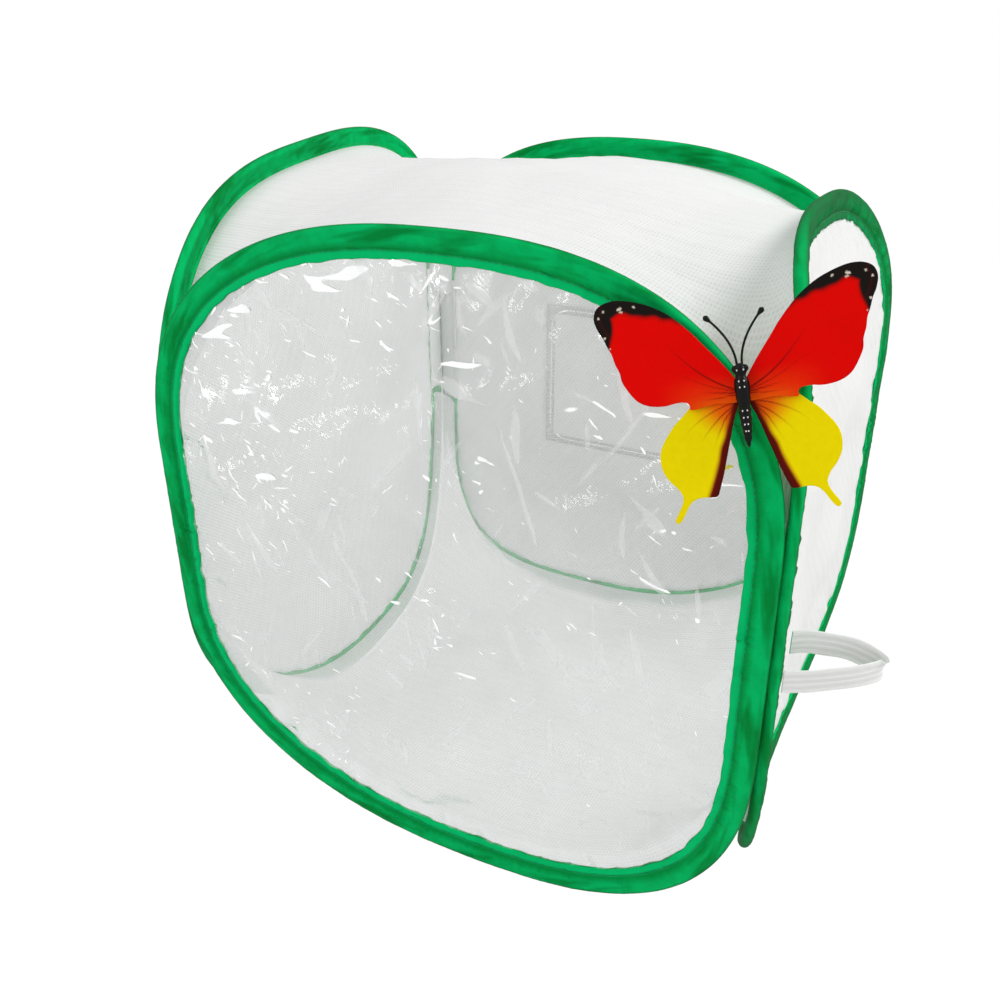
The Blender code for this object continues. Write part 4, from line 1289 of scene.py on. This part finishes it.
def paintFore(places):
    colours = np.tile(np.array(red), (len(places), 1))
    rootGap = np.linalg.norm(places, axis=1)
    lower = ease((0.17 - places[:, 1] + 0.12 * places[:, 0]) / 0.22)
    colours = mixTo(colours, lower * (1 - ease((rootGap - 0.22) / 0.42)), redRoot)
    glow = ease((0.04 - places[:, 1]) / 0.12) * (1 - ease((rootGap - 0.2) / 0.3)) * 0.6
    colours = mixTo(colours, glow, orange)
    veins = (([(0.04, 0.03), (0.20, 0.12), (0.36, 0.26), (0.56, 0.50)], 0.0075, 1.5),
             ([(0.04, 0.02), (0.24, 0.09), (0.44, 0.20), (0.60, 0.27)], 0.005, 0.8),
             ([(0.04, 0.01), (0.18, 0.03), (0.34, 0.06)], 0.006, 1.1),
             ([(0.04, 0.00), (0.20, -0.01), (0.36, 0.00)], 0.005, 0.9))
    for line, width, strength in veins:
        colours = paintVein(colours, places, line, width, strength, darkRed)
    wobble = waves(places, 0.16, 501, 7) * 0.004
    edge = softLoop(foreOutline, 6)
    band = 0.105 * ease((places[:, 0] - 0.30) / 0.42) + 0.055 * ease((places[:, 0] - 0.80) / 0.16) - 0.006
    rim = 0.052 * ease((places[:, 1] - 0.40) / 0.16) - 0.004
    # the black border is widest along the front edge, and a red-brown haze lies inside it
    borders = ((band, edge[30:90], 0.022, 0.045, 0.75, 0.020), (rim, edge[78:150], 0.012, 0.03, 0.7, 0.014))
    for reach, line, past, softness, strength, crisp in borders:
        gap = gapTo(places, line)
        colours = mixTo(colours, (reach + past + wobble - gap) / softness * strength, (0.10, 0.004, 0.003))
        colours = mixTo(colours, (reach + wobble - gap) / crisp, nearBlack)
    spots = (((0.805, 0.735), (0.020, 0.010), -18), ((0.795, 0.712), (0.016, 0.008), 12),
             ((0.925, 0.735), (0.008, 0.008), 0), ((0.965, 0.690), (0.009, 0.007), 0),
             ((0.935, 0.540), (0.007, 0.009), 0), ((0.70, 0.735), (0.013, 0.006), 25),
             ((0.905, 0.460), (0.005, 0.007), 0))
    for spot, radii, turn in spots:
        angle = math.radians(turn)
        away = places - np.array(spot)
        across = (away[:, 0] * math.cos(angle) + away[:, 1] * math.sin(angle)) / radii[0]
        along = (away[:, 1] * math.cos(angle) - away[:, 0] * math.sin(angle)) / radii[1]
        colours = mixTo(colours, (1.15 - np.hypot(across, along)) / 0.35, cream)
    return colours


def paintHind(places):
    colours = np.tile(np.array(yellow), (len(places), 1))
    rootGap = np.linalg.norm((places - np.array([0.0, -0.04])) * (0.85, 1.2), axis=1)
    colours = mixTo(colours, (1 - ease((rootGap - 0.17) / 0.20)) * 0.95, orange)
    colours = mixTo(colours, (1 - ease((rootGap - 0.10) / 0.14)) * 0.7, redRoot)
    veins = (([(0.06, -0.08), (0.14, -0.16), (0.22, -0.30), (0.26, -0.40)], 0.006, 1.2),
             ([(0.06, -0.07), (0.18, -0.15), (0.30, -0.27), (0.36, -0.36)], 0.006, 1.3),
             ([(0.06, -0.05), (0.22, -0.10), (0.38, -0.19), (0.48, -0.30)], 0.0055, 1.2),
             ([(0.06, -0.03), (0.22, -0.05), (0.36, -0.09)], 0.005, 0.9))
    for line, width, strength in veins:
        colours = paintVein(colours, places, line, width, strength, (0.30, 0.03, 0.003))
    innerEdge = [(0.04, -0.07), (0.08, -0.17), (0.12, -0.30), (0.16, -0.43), (0.20, -0.56), (0.24, -0.67),
                 (0.268, -0.73)]
    gap = gapTo(places, softLine(innerEdge))
    wobble = waves(places, 0.20, 521, 6) * 0.002
    band = 0.040 + 0.022 * ease((-places[:, 1] - 0.1) / 0.5)
    colours = mixTo(colours, (band + 0.020 + wobble - gap) / 0.030 * 0.8, (0.42, 0.035, 0.004))
    colours = mixTo(colours, (band + wobble - gap) / 0.018, maroon)
    colours = mixTo(colours, (band * 0.5 + wobble - gap) / 0.020 * 0.5, (0.06, 0.005, 0.004))
    return colours


def makeWings(name, outline, paint, layer, node, bend):
    loop = softLoop(outline, 6)
    step = 0.0085
    grid = staggeredGrid(loop.min(0), loop.max(0), step)
    closed = np.concatenate([loop, loop[:1]])
    grid = grid[insideLoop(grid, loop) & (gapTo(grid, closed) > step * 0.5)]
    spots, faces = joinUp(loop, grid)
    colours = paint(spots)
    points, allFaces = [], []
    for hand in (1, -1):
        first = len(points)
        for (x, y), high in zip(spots * butterfly["halfSpan"], bend(spots)):
            points.append(placeLocal(x * hand, y, layer + high))
        for face in faces:
            allFaces.append(tuple(first + corner for corner in (face if hand == 1 else reversed(face))))
    mesh = meshOf(name, points, allFaces)
    printed = mesh.color_attributes.new("print", "FLOAT_COLOR", "POINT")
    full = np.concatenate([colours, np.ones((len(colours), 1))], 1)
    printed.data.foreach_set("color", np.tile(full, (2, 1)).ravel())
    piece = addPiece(name, mesh, wingLook)
    thicken(piece, 0.0004)
    mesh.shade_smooth()
    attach(piece, "butterfly")
    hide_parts(node)
    return piece


def foreBend(spots):
    return 0.0012 * ease(spots[:, 0]) + waves(spots, 0.5, 531, 4) * 0.00012


def hindBend(spots):
    return waves(spots, 0.5, 541, 4) * 0.00010 - 0.0004 * ease(-spots[:, 1])


def placeLocal(x, y, z):
    return (perchTurn @ np.array([x, y, z, 1.0]))[:3]


foreWings = makeWings("foreWings", foreOutline, paintFore, butterfly["foreLayer"], "butterfly_forewings",
                      foreBend)
hindWings = makeWings("hindWings", hindOutline, paintHind, butterfly["hindLayer"], "butterfly_hindwings",
                      hindBend)
bodyShares = [(0.00, 0.0), (0.01, 0.40), (0.03, 0.68), (0.07, 0.90), (0.11, 0.86), (0.14, 0.66), (0.16, 0.68),
              (0.20, 0.94), (0.26, 1.02), (0.32, 1.0), (0.40, 0.95), (0.46, 0.90), (0.50, 0.72), (0.53, 0.74),
              (0.57, 0.82), (0.61, 0.72), (0.65, 0.80), (0.69, 0.68), (0.73, 0.74), (0.77, 0.60),
              (0.81, 0.64), (0.85, 0.50), (0.89, 0.50), (0.93, 0.32), (0.97, 0.22), (1.0, 0.0)]


def ball(points, faces, centre, radii, rings=8, sides=12):
    first = len(points)
    for ring in range(rings + 1):
        tilt = math.pi * ring / rings
        for turn in range(sides):
            angle = 2 * math.pi * turn / sides
            x = centre[0] + radii[0] * math.sin(tilt) * math.cos(angle)
            y = centre[1] + radii[1] * math.cos(tilt)
            z = centre[2] + radii[2] * math.sin(tilt) * math.sin(angle)
            points.append(placeLocal(x, y, z))
    faces += tubeFaces(first, rings, sides)


def makeBody():
    points = []
    sides = 24
    for share, girth in bodyShares:
        for turn in range(sides):
            angle = 2 * math.pi * turn / sides
            fur = 1 + 0.03 * math.sin(turn * 5 + share * 60)
            radius = butterfly["girth"] * girth * fur
            y = (butterfly["waist"] - share) * butterfly["length"]
            high = butterfly["bodyLayer"] + radius * math.sin(angle)
            points.append(placeLocal(radius * math.cos(angle), y, high))
    faces = tubeFaces(0, len(bodyShares) - 1, sides)
    for hand in (-1, 1):
        eye = (hand * 0.0017, 0.0086, butterfly["bodyLayer"] + 0.0006)
        ball(points, faces, eye, (0.0012, 0.0013, 0.0012))
    mesh = meshOf("butterflyBody", points, faces)
    work = bmesh.new()
    work.from_mesh(mesh)
    bmesh.ops.remove_doubles(work, verts=work.verts, dist=0.00001)
    bmesh.ops.recalc_face_normals(work, faces=work.faces)
    work.to_mesh(mesh)
    work.free()
    mesh.shade_smooth()
    body = addPiece("butterflyBody", mesh, shellLook)
    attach(body, "butterfly")
    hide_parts("butterfly_body")
    points, faces = [], []
    shares, girths = np.array(bodyShares).T
    for along, wide in ((0.085, 0.42), (0.215, 0.34), (0.285, 0.30), (0.56, 0.30), (0.64, 0.26), (0.72, 0.22),
                        (0.80, 0.16)):
        for hand in (-1, 1):
            radius = np.interp(along, shares, girths) * butterfly["girth"]
            x = hand * wide * butterfly["girth"]
            z = butterfly["bodyLayer"] + math.sqrt(max(radius ** 2 - x ** 2, 0))
            y = (butterfly["waist"] - along) * butterfly["length"]
            ball(points, faces, (x, y, z), (0.00028, 0.00032, 0.00016), 5, 8)
    mesh = meshOf("bodyDots", points, faces)
    faceOutward(mesh)
    mesh.shade_smooth()
    dots = addPiece("bodyDots", mesh, dotLook)
    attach(dots, "butterfly")


def makeAntenna(name, hand, node):
    steps = 36
    head = butterfly["waist"] * butterfly["length"] + 0.0004
    route, girths = [], []
    for index in range(steps):
        share = index / (steps - 1)
        x = hand * (butterfly["girth"] / 3 + butterfly["splay"] * share ** 1.8)
        y = head - 0.0012 + (butterfly["reach"] + 0.0012) * share ** 0.9
        knob = 1 + 1.5 * ease((share - 0.86) / 0.10) - 1.7 * ease((share - 0.975) / 0.025)
        route.append(placeLocal(x, y, butterfly["bodyLayer"]))
        girths.append(max(knob, 0.4))
    piece = addThread(name, route, butterfly["antenna"], shellLook, 3, girths=girths)
    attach(piece, "butterfly")
    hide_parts(node)


makeBody()
makeAntenna("leftAntenna", -1, "butterfly_left_antenna")
makeAntenna("rightAntenna", 1, "butterfly_right_antenna")
print("butterfly made")


# the frame's own pieces keep their shapes and take better finishes

def refinish(node, look):
    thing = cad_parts[node]
    thing.data.materials.clear()
    thing.data.materials.append(look)


for side in hoops:
    refinish(side + "_wire_hoop", wireLook)
    refinish(side + "_ferrule", ferruleLook)
refinish("zip_slider", zipMetal)
refinish("zip_pull", zipMetal)
refinish("butterfly_magnet", magnetLook)


# the floor, the light and the camera

studio = dict(ambient=0.55, keyPower=21, fillPower=7, glintPower=1, floorTone=0.92, floorLift=0.96,
              floorGlow=1.03)


def makeStage():
    mesh = meshOf("studioFloor", [(-9, -9, -0.0004), (9, -9, -0.0004), (9, 9, -0.0004), (-9, 9, -0.0004)],
                  [(0, 1, 2, 3)])
    look, tree, shader = newLook("studioWhite")
    feed(tree, shader, {"Base Color": (studio["floorTone"],) * 3, "Roughness": 0.9,
                        "Specular IOR Level": 0.0})
    glow = addNode(tree, "ShaderNodeEmission", Color=(1, 1, 1), Strength=studio["floorGlow"])
    seen = anyRay(tree, "Is Camera Ray", "Is Glossy Ray", "Is Transmission Ray")
    show(tree, mixShaders(tree, doMath(tree, "MULTIPLY", seen, studio["floorLift"]), shader, glow))
    addPiece("studioFloor", mesh, look)


def makeWorld():
    world = bpy.data.worlds.new("studioWorld")
    bpy.context.scene.world = world
    world.use_nodes = True
    tree = world.node_tree
    seen = anyRay(tree, "Is Camera Ray", "Is Glossy Ray", "Is Transmission Ray")
    strength = spread(tree, seen, 0, 1, studio["ambient"], 1.0)
    feed(tree, tree.nodes["Background"], {"Color": (1, 1, 1), "Strength": strength})


def addLamp(name, place, target, power, size):
    lamp = bpy.data.lights.new(name, "AREA")
    lamp.energy = power
    lamp.shape = "DISK"
    lamp.size = size
    holder = bpy.data.objects.new(name, lamp)
    bpy.context.scene.collection.objects.link(holder)
    holder.location = place
    aim = Vector(target) - Vector(place)
    holder.rotation_euler = aim.to_track_quat("-Z", "Y").to_euler()


def makeCamera():
    camera = bpy.data.cameras.new("studioCamera")
    camera.lens = 37.49
    camera.sensor_width = 36
    camera.clip_start = 0.01
    holder = bpy.data.objects.new("studioCamera", camera)
    bpy.context.scene.collection.objects.link(holder)
    sideways = Vector((0.8906, 0.4547, -0.0066)).normalized()
    backward = Vector((0.4097, -0.7960, 0.4456)).normalized()
    upwards = backward.cross(sideways).normalized()
    sideways = upwards.cross(backward)
    holder.matrix_world = matrixOf(sideways, upwards, backward, Vector((0.2192, -0.4941, 0.4008)))
    bpy.context.scene.camera = holder


makeStage()
makeWorld()
addLamp("keyLamp", (1.3, 0.5, 1.6), (0, 0, 0.15), studio["keyPower"], 0.9)
addLamp("fillLamp", (-0.9, -1.1, 1.5), (0, 0, 0.15), studio["fillPower"], 1.0)
addLamp("glintLamp", (-0.9, -1.2, 0.55), (0, -0.1, 0.15), studio["glintPower"], 0.25)
makeCamera()
bpy.context.scene.view_settings.view_transform = "Standard"
print("stage, light and camera made")

bpy.context.view_layer.update()
